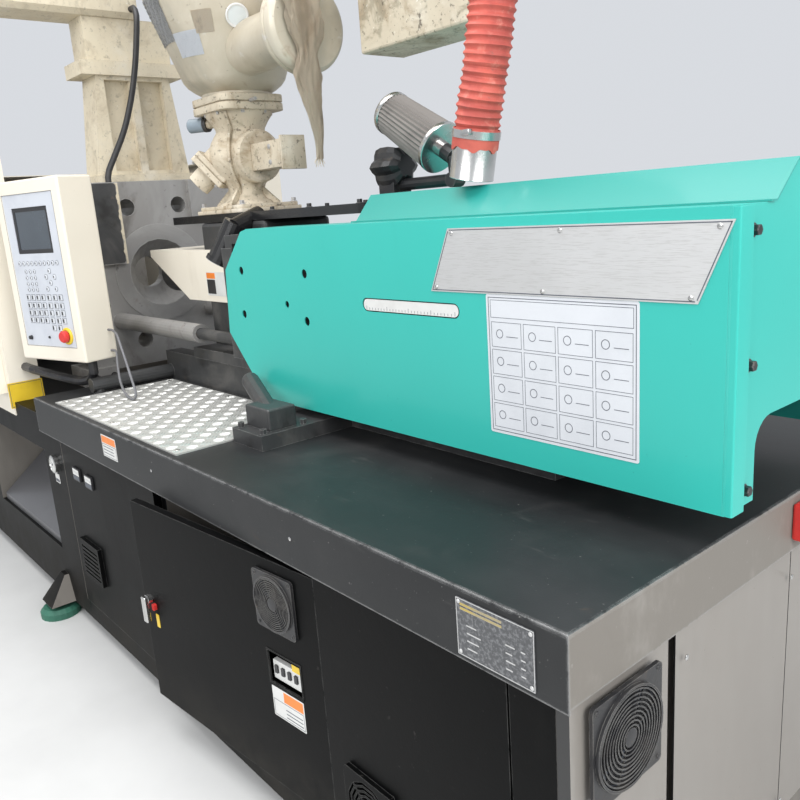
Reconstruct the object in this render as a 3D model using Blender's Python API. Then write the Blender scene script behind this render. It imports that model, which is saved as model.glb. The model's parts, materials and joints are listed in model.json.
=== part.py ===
# Horizontal injection moulding machine with hopper dryer and take-out robot, metres, +Z up.
# Modelled in the machine's own frame: X along the bed towards the injection end, Y to the rear,
# Z up from the floor. The parent empty then puts the middle of the footprint on the origin.
import math

import bmesh
import bpy
from mathutils import Matrix, Vector

# General sizes
GAP = 0.0003
SHEET = 0.003
OVERRUN = 0.05
SINK = 0.002
SHARP_DEG = 35
ROUND_STEPS = 20
SMALL_STEPS = 12

# Bed
FOOT_CLEAR = 0.046
PLINTH_TOP = 0.110
BED_LEFT = -2.450
HIGH_BED_LEFT = 0.170
BED_RIGHT = 2.420
BED_TOP = 0.800
CLAMP_BED_TOP = 0.740
FRAME_HALF = 0.600
TOP_LIP = 0.030
PAN_DEPTH = 0.022
PAN_WALL = 0.003
APRON_DROP = 0.118
END_APRON_DROP = 0.110
EDGE_BEVEL = 0.005
SEAM = 0.004
FRONT_POST_WIDTH = 0.185
CORNER_POST_WIDTH = 0.085
CABINET_LEFT = 1.110
CABINET_RIGHT = 1.795
CABINET_BACK = -0.100
CABINET_SILL = 0.130
CABINET_HEAD = 0.655
SHAFT_LEFT = -0.620
SHAFT_RIGHT = -0.285
SHAFT_HALF = 0.225
CHUTE_BAY_RIGHT = 0.158
CHUTE_BAY_BACK = 0.330
CHUTE_SILL = 0.240
CHUTE_HEAD = 0.610
REAR_PANEL_COUNT = 3
LOUVRE_COUNT = 6
LOUVRE_LENGTH = 0.220
LOUVRE_HEIGHT = 0.010
LOUVRE_PITCH = 0.030
LOUVRE_DEPTH = 0.012
LOUVRE_TOP = 0.550

# Levelling feet and the brackets they carry
FOOT_PLACES = (-2.200, 0.155, 2.200)
FOOT_REACH = 0.065
PAD_RADIUS = 0.0675
PAD_EDGE = 0.022
PAD_HEIGHT = 0.035
PAD_SHOULDER = 0.055
FOOT_SCREW_RADIUS = 0.012
BRACKET_BOTTOM = 0.050
BRACKET_TOP = 0.145
BRACKET_WIDTH = 0.110
BRACKET_TOP_WIDTH = 0.045
BRACKET_REACH = 0.085
BRACKET_TOP_REACH = 0.015

# Cabinet door
DOOR_WIDTH = 0.725
DOOR_BOTTOM = 0.118
DOOR_TOP = 0.672
DOOR_RIGHT = 1.812
DOOR_REST_DEG = 5.0
DOOR_PAN = 0.020
HINGE_CLEAR = 0.0005
WINDOW_LEFT = 1.632
WINDOW_WIDTH = 0.108
WINDOW_BOTTOM = 0.382
WINDOW_HEIGHT = 0.074
LATCH_IN = 0.035
LATCH_HEIGHT = 0.412
LATCH_LENGTH = 0.070
LATCH_WIDTH = 0.020
LATCH_THICK = 0.011
LATCH_BOSS = 0.013

# Fan guards
FAN_SIZE = 0.150
DOOR_FAN_SIZE = 0.130
FAN_THICK = 0.012
FAN_RINGS = 5
FAN_RING_WIDTH = 0.0045
FAN_HUB = 0.019
FAN_RIM = 0.005
FAN_SPOKE_HALF = 0.0022
FAN_CHAMFER = 0.008
FAN_ARC_STEPS = 3
DOOR_FAN_X = 1.682
DOOR_FAN_Z = 0.580
SIDE_FAN_X = 1.945
SIDE_FAN_Z = 0.232
END_FAN_IN = 0.091
END_FAN_Z = 0.592
END_FAN_SIZE = 0.168
VENT_X = 0.512
VENT_Z = 0.300
VENT_WIDTH = 0.160
VENT_HEIGHT = 0.130
VENT_THICK = 0.014
VENT_SLATS = 7
VENT_BORDER = 0.012

# End panel
END_SLOT_IN = 0.218
END_SLOT_WIDTH = 0.021
END_SLOT_BOTTOM = 0.140
END_SEAM_Y = 0.029
END_SEAM_WIDTH = 0.003
END_SEAM_DEPTH = 0.0015
STOP_BOX_Y = 0.045
STOP_BOX_Z = 0.748
STOP_BOX_SIZE = 0.070
STOP_BOX_DEPTH = 0.030
STOP_STEM_RADIUS = 0.011
STOP_HEAD_RADIUS = 0.020
STOP_HEAD_THICK = 0.016
STOP_TRAVEL = 0.006
STOP_SOCKET = 0.014
STOP_RIM_SHARE = 0.7
STOP_CROWN_SHARE = 0.8

# Tread plate and discharge chute
TREAD_LEFT = 0.345
TREAD_RIGHT = 1.241
TREAD_INSET = 0.018
TREAD_BACK = -0.205
TREAD_THICK = 0.004
CHUTE_LEFT = -0.600
CHUTE_RIGHT = 0.145
CHUTE_PROUD = 0.010
CHUTE_LIP = 0.267
CHUTE_KNEE_Y = -0.270
CHUTE_KNEE_Z = 0.545
CHUTE_BACK = 0.300
CHUTE_BACK_Z = 0.590

# Clamp unit
AXIS_Z = 1.155
PLATEN_FACE = -0.080
PLATEN_THICK = 0.170
PLATEN_HALF = 0.355
PLATEN_CHAMFER = 0.060
PLATEN_BOTTOM = 0.800
TIE_OFFSET = 0.270
TIE_RADIUS = 0.0375
TIE_INSET = 0.006
TIE_CLEAR = 0.0005
TIE_NUT_RADIUS = 0.062
TIE_NUT_LENGTH = 0.060
RING_HOLE_RADIUS = 0.0325
RING_HOLE_CIRCLE = 0.280
RING_HOLE_COUNT = 8
RING_HOLE_STEPS = 12
CONE_MOUTH = 0.130
CONE_DEPTH = 0.120
CONE_THROAT = 0.0625
PLATEN_COVER_INNER = 0.150
PLATEN_COVER_OUTER = 0.330
PLATEN_COVER_DROP = 0.004
NEAR_COVER_PROUD = 0.050
NEAR_COVER_BOTTOM = 1.205
FAR_COVER_PROUD = 0.025
FAR_COVER_BOTTOM = 1.360
PLATEN_FOOT_INNER = 0.245
PLATEN_FOOT_SPREAD = 0.020
PLATEN_FOOT_HEIGHT = 0.075
MOVING_FACE = -1.080
MOVING_THICK = 0.160
CLAMP_STROKE = 0.450
SHOE_BACK = 0.060
SHOE_FRONT = 0.000
REAR_FACE = -1.790
REAR_THICK = 0.160
RAM_RADIUS = 0.080
RAM_LENGTH = 1.160
CYLINDER_RADIUS = 0.150
CYLINDER_FLANGE = 0.190
CYLINDER_FLANGE_THICK = 0.030
CYLINDER_LENGTH = 0.485
CYLINDER_CAP = 0.010
EJECTOR_BEHIND = 0.110
EJECTOR_THICK = 0.035
EJECTOR_HALF = 0.150
EJECTOR_CHAMFER = 0.030
EJECTOR_PIN_OFFSET = 0.120
EJECTOR_PIN_RADIUS = 0.010
EJECTOR_INSET = 0.004
EJECTOR_STROKE = 0.080
RAM_CLEAR = 0.004

# Clamp guard
GUARD_WALL = 0.004
GUARD_BOTTOM = 0.690
GUARD_TOP = 1.620
GUARD_RIGHT = -0.120
GUARD_DOORWAY_LEFT = -1.120
GUARD_DOORWAY_RIGHT = -0.200
GUARD_DOORWAY_BOTTOM = 0.800
GUARD_DOORWAY_TOP = 1.550
GUARD_END_RETURN = 0.103
GUARD_ROOF_RETURN = 0.083
GUARD_ROOF_LEFT = -1.300
POST_DEPTH = 0.050
POST_WIDTH = 0.060
GUARD_DOOR_LAP = 0.030
GUARD_DOOR_THICK = 0.030
GUARD_DOOR_SHEET = 0.004
GUARD_DOOR_BORDER = 0.110
GUARD_DOOR_TRAVEL = 0.850
GUARD_HANDLE_LENGTH = 0.240
GUARD_HANDLE_RADIUS = 0.012
GUARD_HANDLE_OUT = 0.050
GUARD_HANDLE_IN = 0.060
GUARD_HANDLE_UP = 0.220
GUARD_HANDLE_FOOT_RADIUS = 0.010
GUARD_VENT_COUNT = 5
GUARD_VENT_LENGTH = 0.300
GUARD_VENT_HEIGHT = 0.016
GUARD_VENT_PITCH = 0.050
GUARD_VENT_TOP = 1.450

# Control panel on its arm
PANEL_CORNER_X = 0.360
PANEL_CORNER_IN = 0.1256
PANEL_FLOOR = 0.914
PANEL_WIDTH = 0.370
PANEL_DEPTH = 0.125
PANEL_HEIGHT = 0.600
PANEL_TURN_DEG = 15.0
PANEL_BEVEL = 0.006
BEZEL_SIDE = 0.040
BEZEL_BOTTOM = 0.050
BEZEL_TOP = 0.045
BEZEL_RECESS = 0.008
BEZEL_THICK = 0.006
SCREEN_WIDTH = 0.205
SCREEN_HEIGHT = 0.165
SCREEN_DROP = 0.035
SCREEN_RECESS = 0.003
KEY_WIDTH = 0.011
KEY_HEIGHT = 0.009
KEY_PROUD = 0.0015
KEY_ROWS = 6
KEY_COLUMNS = 6
KEY_PITCH_X = 0.036
KEY_PITCH_Z = 0.034
KEY_TOP = 0.225
PANEL_STOP_IN = 0.042
PANEL_STOP_UP = 0.038
ARM_RADIUS = 0.016
ARM_STEPS = 18
ARM_FLANGE_RADIUS = 0.034
ARM_FLANGE_THICK = 0.010
PIVOT_BACK = 0.060
PIVOT_IN = 0.060
ARM_DROP = 0.050
ARM_LEAD = 0.090
ARM_DIP = 0.085
ARM_RISE = 0.045
ARM_SWAY = 0.012

# Slide base of the injection unit
RAIL_TOP = 0.900
RAIL_INNER = 0.130
RAIL_OUTER = 0.190
RAIL_LEFT = 0.360
RAIL_RIGHT = 2.050
CROSS_TUBE_X = 0.315
CROSS_TUBE_RADIUS = 0.025
CROSS_TUBE_FRONT = -0.480
CROSS_TUBE_LIFT = 0.004
CROSS_TUBE_STEPS = 16
CROSS_TUBE_LEG_RADIUS = 0.020
END_BLOCK_LENGTH = 0.070
FOOT_CASTING_LEFT = 1.250
FOOT_CASTING_RIGHT = 1.390
FOOT_CASTING_FRONT = -0.460
FOOT_CASTING_TOP = 0.838
LUG_FRONT = -0.425
LUG_BACK = -0.345
LUG_LEFT = 1.262
LUG_RIGHT = 1.372
LUG_TOP = 0.892
LINK_RADIUS = 0.024
LINK_TIP_X = 1.120
LINK_TIP_Y = -0.322
LINK_TIP_Z = 0.915
BOLT_RADIUS = 0.009
BOLT_HEAD = 0.012
BOLT_INSET = 0.017
REAR_TIE_LENGTH = 0.100
REAR_TIE_TOP = 0.860

# Injection unit
HOUSING_LEFT = 0.540
HOUSING_RIGHT = 0.940
HOUSING_HALF = 0.120
HOUSING_TOP = 1.3347
HOUSING_BEVEL = 0.012
FOOT_PLATE_HALF = 0.200
FOOT_PLATE_THICK = 0.035
FLANGE_LENGTH = 0.060
FLANGE_HALF = 0.235
FLANGE_BOTTOM = 0.940
FLANGE_TOP = 1.262
GUIDE_OFFSET = 0.190
GUIDE_RADIUS = 0.025
GUIDE_RIGHT = 1.950
PULL_ROD_OFFSET = 0.195
PULL_ROD_Z = 0.985
PULL_ROD_RADIUS = 0.018
PULL_ROD_LEFT = 0.150
PULL_BODY_RADIUS = 0.031
PULL_BODY_RIGHT = 0.600
PULL_BODY_FLOOR = -0.050
PULL_CLEAR = 0.001
CARRIER_INNER = 0.205
CARRIER_OUTER = 0.232
CARRIER_BOTTOM = 1.275
CARRIER_TOP = 1.300
CARRIER_BRACKETS = (1.220, 2.320)
CARRIER_BRACKET_LENGTH = 0.040
THROAT_X = 0.660
THROAT_RADIUS = 0.028
NOZZLE_TIP = -0.020
NOZZLE_TIP_RADIUS = 0.011
NOZZLE_CONE = 0.022
NOZZLE_RADIUS = 0.024
NOZZLE_LENGTH = 0.080
BARREL_RADIUS = 0.055
BAND_RADIUS = 0.070
BAND_COUNT = 4
BAND_LENGTH = 0.085
BAND_GAP = 0.014
BARREL_BORE = 0.0235
BARREL_PORT_RADIUS = 0.014
NOZZLE_BORE = 0.004
SCREW_LEFT = 0.280
SCREW_TIP = 0.020
FLIGHT_START = 0.040
FLIGHT_RADIUS = 0.0222
ROOT_RADIUS = 0.0150
FLIGHT_PITCH = 0.045
FLIGHT_TURNS = 12
FLIGHT_STEPS = 8
FLIGHT_WIDTH = 0.008
SHAFT_RADIUS = 0.020
SHAFT_CLEAR = 0.0005
HEAD_LEFT = 1.450
HEAD_THICK = 0.100
HEAD_BOTTOM = 1.040
HEAD_TOP = 1.270
HEAD_SOCKET = 0.075
MOTOR_RADIUS = 0.095
MOTOR_FLANGE = 0.112
MOTOR_FLANGE_THICK = 0.022
MOTOR_LENGTH = 0.240
MOTOR_CAP_RADIUS = 0.062
MOTOR_CAP_LENGTH = 0.060
PORT_HALF = 0.035
PORT_HALF_LENGTH = 0.025
PORT_HEIGHT = 0.030

# Purge guard
PURGE_LEFT = 0.120
PURGE_LEFT_BOTTOM = 0.400
PURGE_RIGHT = 0.690
PURGE_BOTTOM = 1.080
PURGE_TOP = 1.250
PURGE_WALL = 0.003
PURGE_LIP = 0.024

# Covers of the injection unit
COVER_HALF = 0.286
COVER_BOTTOM = 0.859
COVER_TOP = 1.315
COVER_RIGHT = 2.4415
COVER_OUTLINE = ((1.133, 0.862), (0.970, 1.031), (0.987, 1.207), (1.092, 1.308), (1.125, 1.315))
COVER_HOLES = ((1.074, 1.206), (1.377, 1.203), (1.065, 1.088), (1.370, 1.087))
COVER_HOLE_RADIUS = 0.0115
SMALL_HOLE = (1.287, 1.125)
SMALL_HOLE_RADIUS = 0.009
SCALE_LEFT = 1.598
SCALE_RIGHT = 1.903
SCALE_Z = 1.140
SCALE_HEIGHT = 0.030
LEDGE_INNER = 0.160
RETURN_WIDTH = 0.028
ROOF_FOOT = 0.166
ROOF_FOOT_INNER = 0.184
ROOF_RIDGE = 0.099
ROOF_TOP = 1.374
ROOF_LEFT_LOW = 1.597
ROOF_LEFT_HIGH = 1.431
ARCH_HALF = 0.196
ARCH_TOP = 0.990
ARCH_RADIUS = 0.050
COVER_BOLT_IN = 0.022
COVER_BOLT_HEIGHTS = (1.270, 1.080, 0.890)
COVER_BOLT_RADIUS = 0.009
COVER_BOLT_HEAD = 0.008

# Hopper dryer
SLIDE_LEFT = 0.320
SLIDE_RIGHT = 1.400
SLIDE_HALF = 0.115
SLIDE_THICK = 0.025
HOPPER_STROKE = 0.180
DRAIN_TOP = (0.862, -0.164, 1.330)
DRAIN_BOTTOM = (0.815, -0.212, 1.218)
DRAIN_RADIUS = 0.038
DRAIN_WALL = 0.003
DRAIN_LIP = 0.042
DRAIN_LIP_LENGTH = 0.012
DRAIN_NECK_IN = 0.046
DRAIN_NECK_RADIUS = 0.030
VALVE_FOOT_HALF = 0.145
VALVE_FOOT_THICK = 0.024
VALVE_BORE = 0.030
VALVE_PROFILE = ((0.082, 1.390), (0.058, 1.418), (0.062, 1.445), (0.096, 1.485), (0.109, 1.530),
                 (0.099, 1.575), (0.077, 1.608), (0.104, 1.655), (0.104, 1.675))
VALVE_HEAD_HALF = 0.112
VALVE_HEAD_BOTTOM = 1.665
VALVE_HEAD_TOP = 1.712
HEAD_CORNER = 0.036
OUTLET_START = (0.660, 0.000, 1.585)
OUTLET_END = (0.6025, -0.067, 1.511)
OUTLET_RADIUS = 0.054
OUTLET_PLATE = 0.088
OUTLET_PLATE_THICK = 0.036
OUTLET_STUB = 0.038
OUTLET_STUB_LENGTH = 0.050
VALVE_DRUM_RADIUS = 0.080
VALVE_DRUM_OUT = 0.108
VALVE_DRUM_Z = 1.528
SIDE_BLOCK_OUT = 0.285
SIDE_BLOCK_HALF = 0.034
SIDE_BLOCK_BOTTOM = 1.482
SIDE_BLOCK_TOP = 1.562
SIDE_PLATE_THICK = 0.009
SIDE_PLATE_LIP = 0.008
VALVE_KNOB_RADIUS = 0.022
VALVE_KNOB_TIP = (0.515, -0.100, 1.642)
HOPPER_NECK = 0.108
HOPPER_NECK_TOP = 1.722
HOPPER_CONE_FOOT = 1.758
HOPPER_CONE_BOTTOM = 0.158
HOPPER_RADIUS = 0.255
HOPPER_SHOULDER = 2.020
HOPPER_EAVES = 2.680
HOPPER_LID = 0.235
HOPPER_CROWN = 2.745
HOPPER_RIM = 0.008
HOPPER_CROWN_RADIUS = 0.078
HOPPER_STEPS = 32
DUCT_RADIUS = 0.075
DUCT_START_X = 0.800
DUCT_HEAD_LEFT = 1.075
DUCT_HEAD_RIGHT = 1.130
DUCT_HEAD_RADIUS = 0.120
DUCT_HEAD_ROUND = 0.012
DUCT_Y = -0.030
DUCT_Z = 1.829
HOSE_OUTLET_Z = 2.580
HOSE_OUTLET_RADIUS = 0.046
HOSE_OUTLET_X = 0.985
BOX_PAD_X = 0.935
BOX_PAD_Y = 0.120
BOX_PAD_HALF = 0.022
BOX_PAD_BOTTOM = 2.030
BOX_PAD_TOP = 2.110
BOX_LEFT = 1.240
BOX_RIGHT = 1.640
BOX_FRONT = 0.050
BOX_DEPTH = 0.150
BOX_BOTTOM = 1.740
BOX_TOP = 2.220
BOX_BEVEL = 0.006
BAG_Y = -0.065
BAG_TOP = 1.900
BAG_TAIL = 1.465
BAG_WIDTH = 0.062
BAG_THICK = 0.020
BAG_TAIL_RADIUS = 0.007
BAG_LEAN = 0.025
BAG_TAPER = 1.3
BAG_STEPS = 12

# Blower and its air filter
BLOWER_X = 1.342
BLOWER_Y = 0.050
BLOWER_Z = 1.447
BLOWER_RADIUS = 0.050
BLOWER_LOBE_DEPTH = 0.007
BLOWER_LOBES = 6
BLOWER_HALF_LENGTH = 0.052
BLOWER_FOOT_HALF = 0.030
BLOWER_ARM_RADIUS = 0.015
BLOWER_KNEE_RADIUS = 0.018
BLOWER_COLLAR = 0.030
BLOWER_RING_SHARES = ((-1.0, 0.55), (-0.75, 0.9), (-0.3, 1.0), (0.3, 1.0), (0.75, 0.9), (1.0, 0.55))
BLOWER_ELBOW = (1.570, 0.050, 1.399)
FILTER_CAP = (1.353, 0.050, 1.578)
FILTER_BASE = (1.523, 0.050, 1.478)
FILTER_CAP_RADIUS = 0.052
FILTER_BASE_RADIUS = 0.061
FILTER_PLEATS = 22
FILTER_PLEAT_DEPTH = 0.0035
FILTER_RIM = 0.004
FILTER_RIM_LENGTH = 0.014
FILTER_STUB_RADIUS = 0.020

# Hose, spigot and cables
HOSE_RADIUS = 0.050
HOSE_ROUTE = ((0.9853, 0.000, 2.580), (1.080, 0.000, 2.580), (1.240, -0.005, 2.560), (1.420, -0.015, 2.495),
              (1.590, -0.035, 2.380), (1.730, -0.055, 2.210), (1.820, -0.075, 2.010), (1.848, -0.090, 1.800),
              (1.832, -0.098, 1.650), (1.7999, -0.100, 1.5211), (1.792, -0.100, 1.487))
SPIGOT_LENGTH = 0.0975
SPIGOT_RADIUS = 0.047
SPIGOT_WALL = 0.002
HOSE_STEP = 0.100
ROBOT_CABLE_RADIUS = 0.011
ROBOT_CABLE_STEP = 0.044
PANEL_CABLE_RADIUS = 0.004
PANEL_CABLE_STEP = 0.020
ROBOT_CABLE_ROUTE = ((-0.0797, 0.020, 2.130), (-0.055, 0.020, 2.130), (-0.015, 0.010, 2.095),
                     (-0.003, -0.008, 2.010), (-0.008, -0.027, 1.910), (-0.018, -0.055, 1.800),
                     (-0.028, -0.095, 1.690), (-0.034, -0.143, 1.600), (-0.0385, -0.170, 1.550),
                     (-0.0405, -0.1775, 1.524), (-0.0405, -0.1775, 1.5066))
PANEL_CABLE_ROUTE = ((0.3344, -0.4003, 1.010), (0.3520, -0.3956, 1.010), (0.392, -0.396, 0.998),
                     (0.440, -0.406, 0.965), (0.495, -0.417, 0.918), (0.545, -0.427, 0.872),
                     (0.577, -0.433, 0.838), (0.583, -0.437, 0.818), (0.565, -0.439, 0.8092),
                     (0.530, -0.440, 0.812), (0.490, -0.4365, 0.826), (0.454, -0.430, 0.850),
                     (0.422, -0.4195, 0.884), (0.396, -0.4085, 0.915), (0.374, -0.3985, 0.934),
                     (0.3520, -0.3956, 0.940), (0.3344, -0.4003, 0.940))

# Take-out robot
PEDESTAL_HALF = 0.200
PEDESTAL_PLATE = 0.025
PEDESTAL_FRONT = -0.085
PEDESTAL_DEEP = 0.165
PEDESTAL_HIGH = 0.360
PEDESTAL_NARROW_HALF = 0.145
PEDESTAL_MARGIN = 0.015
PEDESTAL_RECESS = 0.030
PEDESTAL_RIB = 0.030
COLUMN_HALF = 0.165
COLUMN_INSET = 0.020
BEAM_BOTTOM = 2.100
BEAM_HIGH = 0.170
BEAM_RIGHT_END = 0.045
BEAM_LENGTH = 1.495
BEAM_FRONT = -0.080
BEAM_DEEP = 0.190
BEAM_CHAMFER = 0.018
CARRIAGE_Y = -1.270
CARRIAGE_HALF = 0.110
CARRIAGE_THICK = 0.060
CARRIAGE_OVERHANG = 0.030
CROSS_BEAM_HIGH = 0.080
CROSS_BEAM_HALF = 0.045
ARM_X = -0.440
ARM_HEAD_HALF = 0.080
ARM_HEAD_HALF_Y = 0.090
ARM_HEAD_BOTTOM = 2.050
ARM_HEAD_TOP = 2.450
ARM_BAR_HALF_X = 0.025
ARM_BAR_HALF_Y = 0.020
ARM_BAR_BOTTOM = 1.740
ARM_BAR_TOP = 2.740
GRIP_HALF = 0.060
GRIP_THICK = 0.012
CUP_RADIUS = 0.016
CUP_HEIGHT = 0.028
CUP_OFFSET = 0.042
DROP_STROKE = 0.750
TRAVERSE_STROKE = 1.200

# Colour, roughness and metallic value of each finish
FINISHES = {
    "charcoal_paint": ((0.030, 0.033, 0.036), 0.45, 0.0),
    "cream_paint": ((0.83, 0.76, 0.64), 0.45, 0.0),
    "teal_paint": ((0.075, 0.66, 0.58), 0.40, 0.0),
    "grey_plate": ((0.30, 0.28, 0.26), 0.40, 0.5),
    "worn_steel": ((0.13, 0.125, 0.12), 0.45, 0.8),
    "bright_steel": ((0.62, 0.62, 0.62), 0.22, 1.0),
    "tread_aluminium": ((0.62, 0.61, 0.58), 0.38, 0.9),
    "black_iron": ((0.020, 0.020, 0.022), 0.40, 0.3),
    "green_pad": ((0.03, 0.16, 0.10), 0.55, 0.0),
    "keypad": ((0.58, 0.61, 0.65), 0.40, 0.0),
    "red_plastic": ((0.62, 0.05, 0.05), 0.35, 0.0),
    "aged_cream": ((0.62, 0.58, 0.47), 0.60, 0.0),
    "filter_grey": ((0.22, 0.20, 0.18), 0.70, 0.0),
    "hose_red": ((0.60, 0.09, 0.06), 0.55, 0.0),
    "cable_black": ((0.022, 0.022, 0.024), 0.50, 0.0),
    "cable_grey": ((0.20, 0.20, 0.21), 0.50, 0.0),
    "cloth": ((0.55, 0.50, 0.40), 0.90, 0.0),
}

AXES = {"x": Vector((1, 0, 0)), "y": Vector((0, 1, 0)), "z": Vector((0, 0, 1))}
HALF_TURN = math.pi
FULL_TURN = 2 * math.pi


# Solids as bmeshes, in the machine's frame

def block(x0, x1, y0, y1, z0, z1, bevel=0.0, only_top=False):
    """A block between two corners, with its edges or only its top ones rounded."""
    bm = bmesh.new()
    size = Vector((x1 - x0, y1 - y0, z1 - z0))
    middle = Vector((x0 + x1, y0 + y1, z0 + z1)) / 2
    bmesh.ops.create_cube(bm, size=1, matrix=Matrix.Translation(middle) @ Matrix.Diagonal((*size, 1)))
    if bevel:
        edges = [e for e in bm.edges if not only_top or all(v.co.z > middle.z for v in e.verts)]
        bmesh.ops.bevel(bm, geom=edges, offset=bevel, segments=2, profile=0.5, affect="EDGES")
    return bm


def turned(profile, base, axis, steps=ROUND_STEPS):
    """A closed profile of (radius, distance) points spun about an axis; its edges on the axis drop out."""
    bm = bmesh.new()
    base = Vector(base)
    along = Vector(axis).normalized()
    across = along.cross(AXES["z"] if abs(along.z) < 1 - GAP else AXES["x"]).normalized()
    points = [bm.verts.new(base + across * radius + along * height) for radius, height in profile]
    edges = [bm.edges.new((points[i - 1], points[i])) for i in range(len(points))
             if profile[i - 1][0] > 0 or profile[i][0] > 0]
    bmesh.ops.spin(bm, geom=points + edges, axis=along, cent=base, angle=FULL_TURN,
                   steps=steps, use_merge=True)
    bmesh.ops.remove_doubles(bm, verts=bm.verts, dist=GAP / 100)
    bmesh.ops.recalc_face_normals(bm, faces=bm.faces)
    return bm


def rod(start, end, radius, steps=ROUND_STEPS, end_radius=None):
    """A round bar, or a cone, between two points."""
    start = Vector(start)
    along = Vector(end) - start
    last = radius if end_radius is None else end_radius
    return turned([(0, 0), (radius, 0), (last, along.length), (0, along.length)], start, along, steps)


def lift(point, axis, height):
    """A flat outline point placed at a height along an axis."""
    first, second = point
    if axis == "x":
        return Vector((height, first, second))
    if axis == "y":
        return Vector((first, height, second))
    return Vector((first, second, height))


def prism(outline, axis, start, end, holes=()):
    """A plate of one outline, with its holes, between two planes square to an axis."""
    bm = bmesh.new()
    edges = []
    for loop in (outline, *holes):
        verts = [bm.verts.new(lift(point, axis, start)) for point in loop]
        edges += [bm.edges.new((verts[i - 1], verts[i])) for i in range(len(verts))]
    if holes:
        bmesh.ops.triangle_fill(bm, use_beauty=True, use_dissolve=False, edges=edges)
    else:
        bm.faces.new(verts)
    grown = bmesh.ops.extrude_face_region(bm, geom=bm.faces[:])
    moved = [part for part in grown["geom"] if isinstance(part, bmesh.types.BMVert)]
    bmesh.ops.translate(bm, vec=AXES[axis] * (end - start), verts=moved)
    bmesh.ops.recalc_face_normals(bm, faces=bm.faces)
    return bm


def lofted(rings):
    """A closed body through rings of points, with flat ends."""
    bm = bmesh.new()
    rows = [[bm.verts.new(point) for point in ring] for ring in rings]
    for low, high in zip(rows, rows[1:]):
        for i in range(len(low)):
            bm.faces.new((low[i - 1], low[i], high[i], high[i - 1]))
    bm.faces.new(rows[0])
    bm.faces.new(rows[-1])
    bmesh.ops.recalc_face_normals(bm, faces=bm.faces)
    return bm


def circle(centre, radius, steps=ROUND_STEPS, start=0.0, sweep=FULL_TURN, closed=True):
    """Points round a circle, or along an arc with both its ends."""
    count = steps if closed else steps + 1
    return [(centre[0] + radius * math.cos(start + sweep * i / steps),
             centre[1] + radius * math.sin(start + sweep * i / steps)) for i in range(count)]


def rectangle(x0, x1, z0, z1, corner=0.0):
    """A rectangle's outline, with its corners cut off by a chamfer when one is given."""
    if not corner:
        return [(x0, z0), (x1, z0), (x1, z1), (x0, z1)]
    return [(x0 + corner, z0), (x1 - corner, z0), (x1, z0 + corner), (x1, z1 - corner),
            (x1 - corner, z1), (x0 + corner, z1), (x0, z1 - corner), (x0, z0 + corner)]


def sheet_outline(points, thickness):
    """The outline of a folded sheet, from the line of its outer side; the wall lies on the line's left."""
    inner = []
    for i, point in enumerate(points):
        before = Vector(points[max(i - 1, 0)])
        here = Vector(point)
        after = Vector(points[min(i + 1, len(points) - 1)])
        first = (here - before) if i else (after - here)
        second = (after - here) if i < len(points) - 1 else first
        normals = [Vector((-d.y, d.x)).normalized() for d in (first, second)]
        mean = (normals[0] + normals[1]).normalized()
        inner.append(tuple(here + mean * thickness / mean.dot(normals[0])))
    return list(points) + inner[::-1]


def smooth_route(points, spacing):
    """Evenly spaced points on a smooth curve through the route's own points, straight at both ends."""
    path = [Vector(p) for p in points]
    result = []
    for i in range(len(path) - 1):
        p1, p2 = path[i], path[i + 1]
        p0 = path[i - 1] if i else p1 * 2 - p2
        p3 = path[i + 2] if i + 2 < len(path) else p2 * 2 - p1
        inside = 0 < i < len(path) - 2
        count = max(1, round((p2 - p1).length / spacing)) if inside else 1
        for step in range(count):
            t = step / count
            point = (p1 * 2 + (p2 - p0) * t + (p0 * 2 - p1 * 5 + p2 * 4 - p3) * t ** 2
                     + (p1 * 3 - p0 - p2 * 3 + p3) * t ** 3) / 2
            result.append(point)
    return result + [path[-1]]


# Objects

def finish_material(name):
    """The Principled material of one finish, made once."""
    material = bpy.data.materials.get(name)
    if material is None:
        colour, roughness, metallic = FINISHES[name]
        material = bpy.data.materials.new(name)
        material.use_nodes = True
        shader = material.node_tree.nodes["Principled BSDF"]
        shader.inputs["Base Color"].default_value = (*colour, 1)
        shader.inputs["Roughness"].default_value = roughness
        shader.inputs["Metallic"].default_value = metallic
    return material


def to_object(name, solids, at, parent):
    """One object from closed bodies, with its origin at a point."""
    mesh = bpy.data.meshes.new(name)
    joined = bmesh.new()
    for solid in solids:
        part = bpy.data.meshes.new(name)
        solid.to_mesh(part)
        solid.free()
        joined.from_mesh(part)
        bpy.data.meshes.remove(part)
    bmesh.ops.translate(joined, vec=-Vector(at), verts=joined.verts)
    joined.to_mesh(mesh)
    joined.free()
    mesh.shade_smooth()
    mesh.set_sharp_from_angle(angle=math.radians(SHARP_DEG))
    item = bpy.data.objects.new(name, mesh)
    bpy.context.collection.objects.link(item)
    item.location = at
    item.parent = parent
    return item


def add_boolean(item, name, solids, operation, at, parent):
    """Joins or cuts an object with helper solids that stay out of the model."""
    helper = to_object(name, solids, at, parent)
    helper.hide_render = True
    helper.display_type = "WIRE"
    modifier = item.modifiers.new(name, "BOOLEAN")
    modifier.operation = operation
    modifier.solver = "EXACT"
    modifier.use_self = len(solids) > 1
    modifier.object = helper


def make(name, finish, parent, body, add=(), cut=(), at=(0, 0, 0)):
    """A named piece: its first solid, what is welded to it and what is cut out of it."""
    item = to_object(name, [body], at, parent)
    item.data.materials.append(finish_material(finish))
    if add:
        add_boolean(item, name + "_add", list(add), "UNION", at, parent)
    if cut:
        add_boolean(item, name + "_cut", list(cut), "DIFFERENCE", at, parent)
    return item


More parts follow.
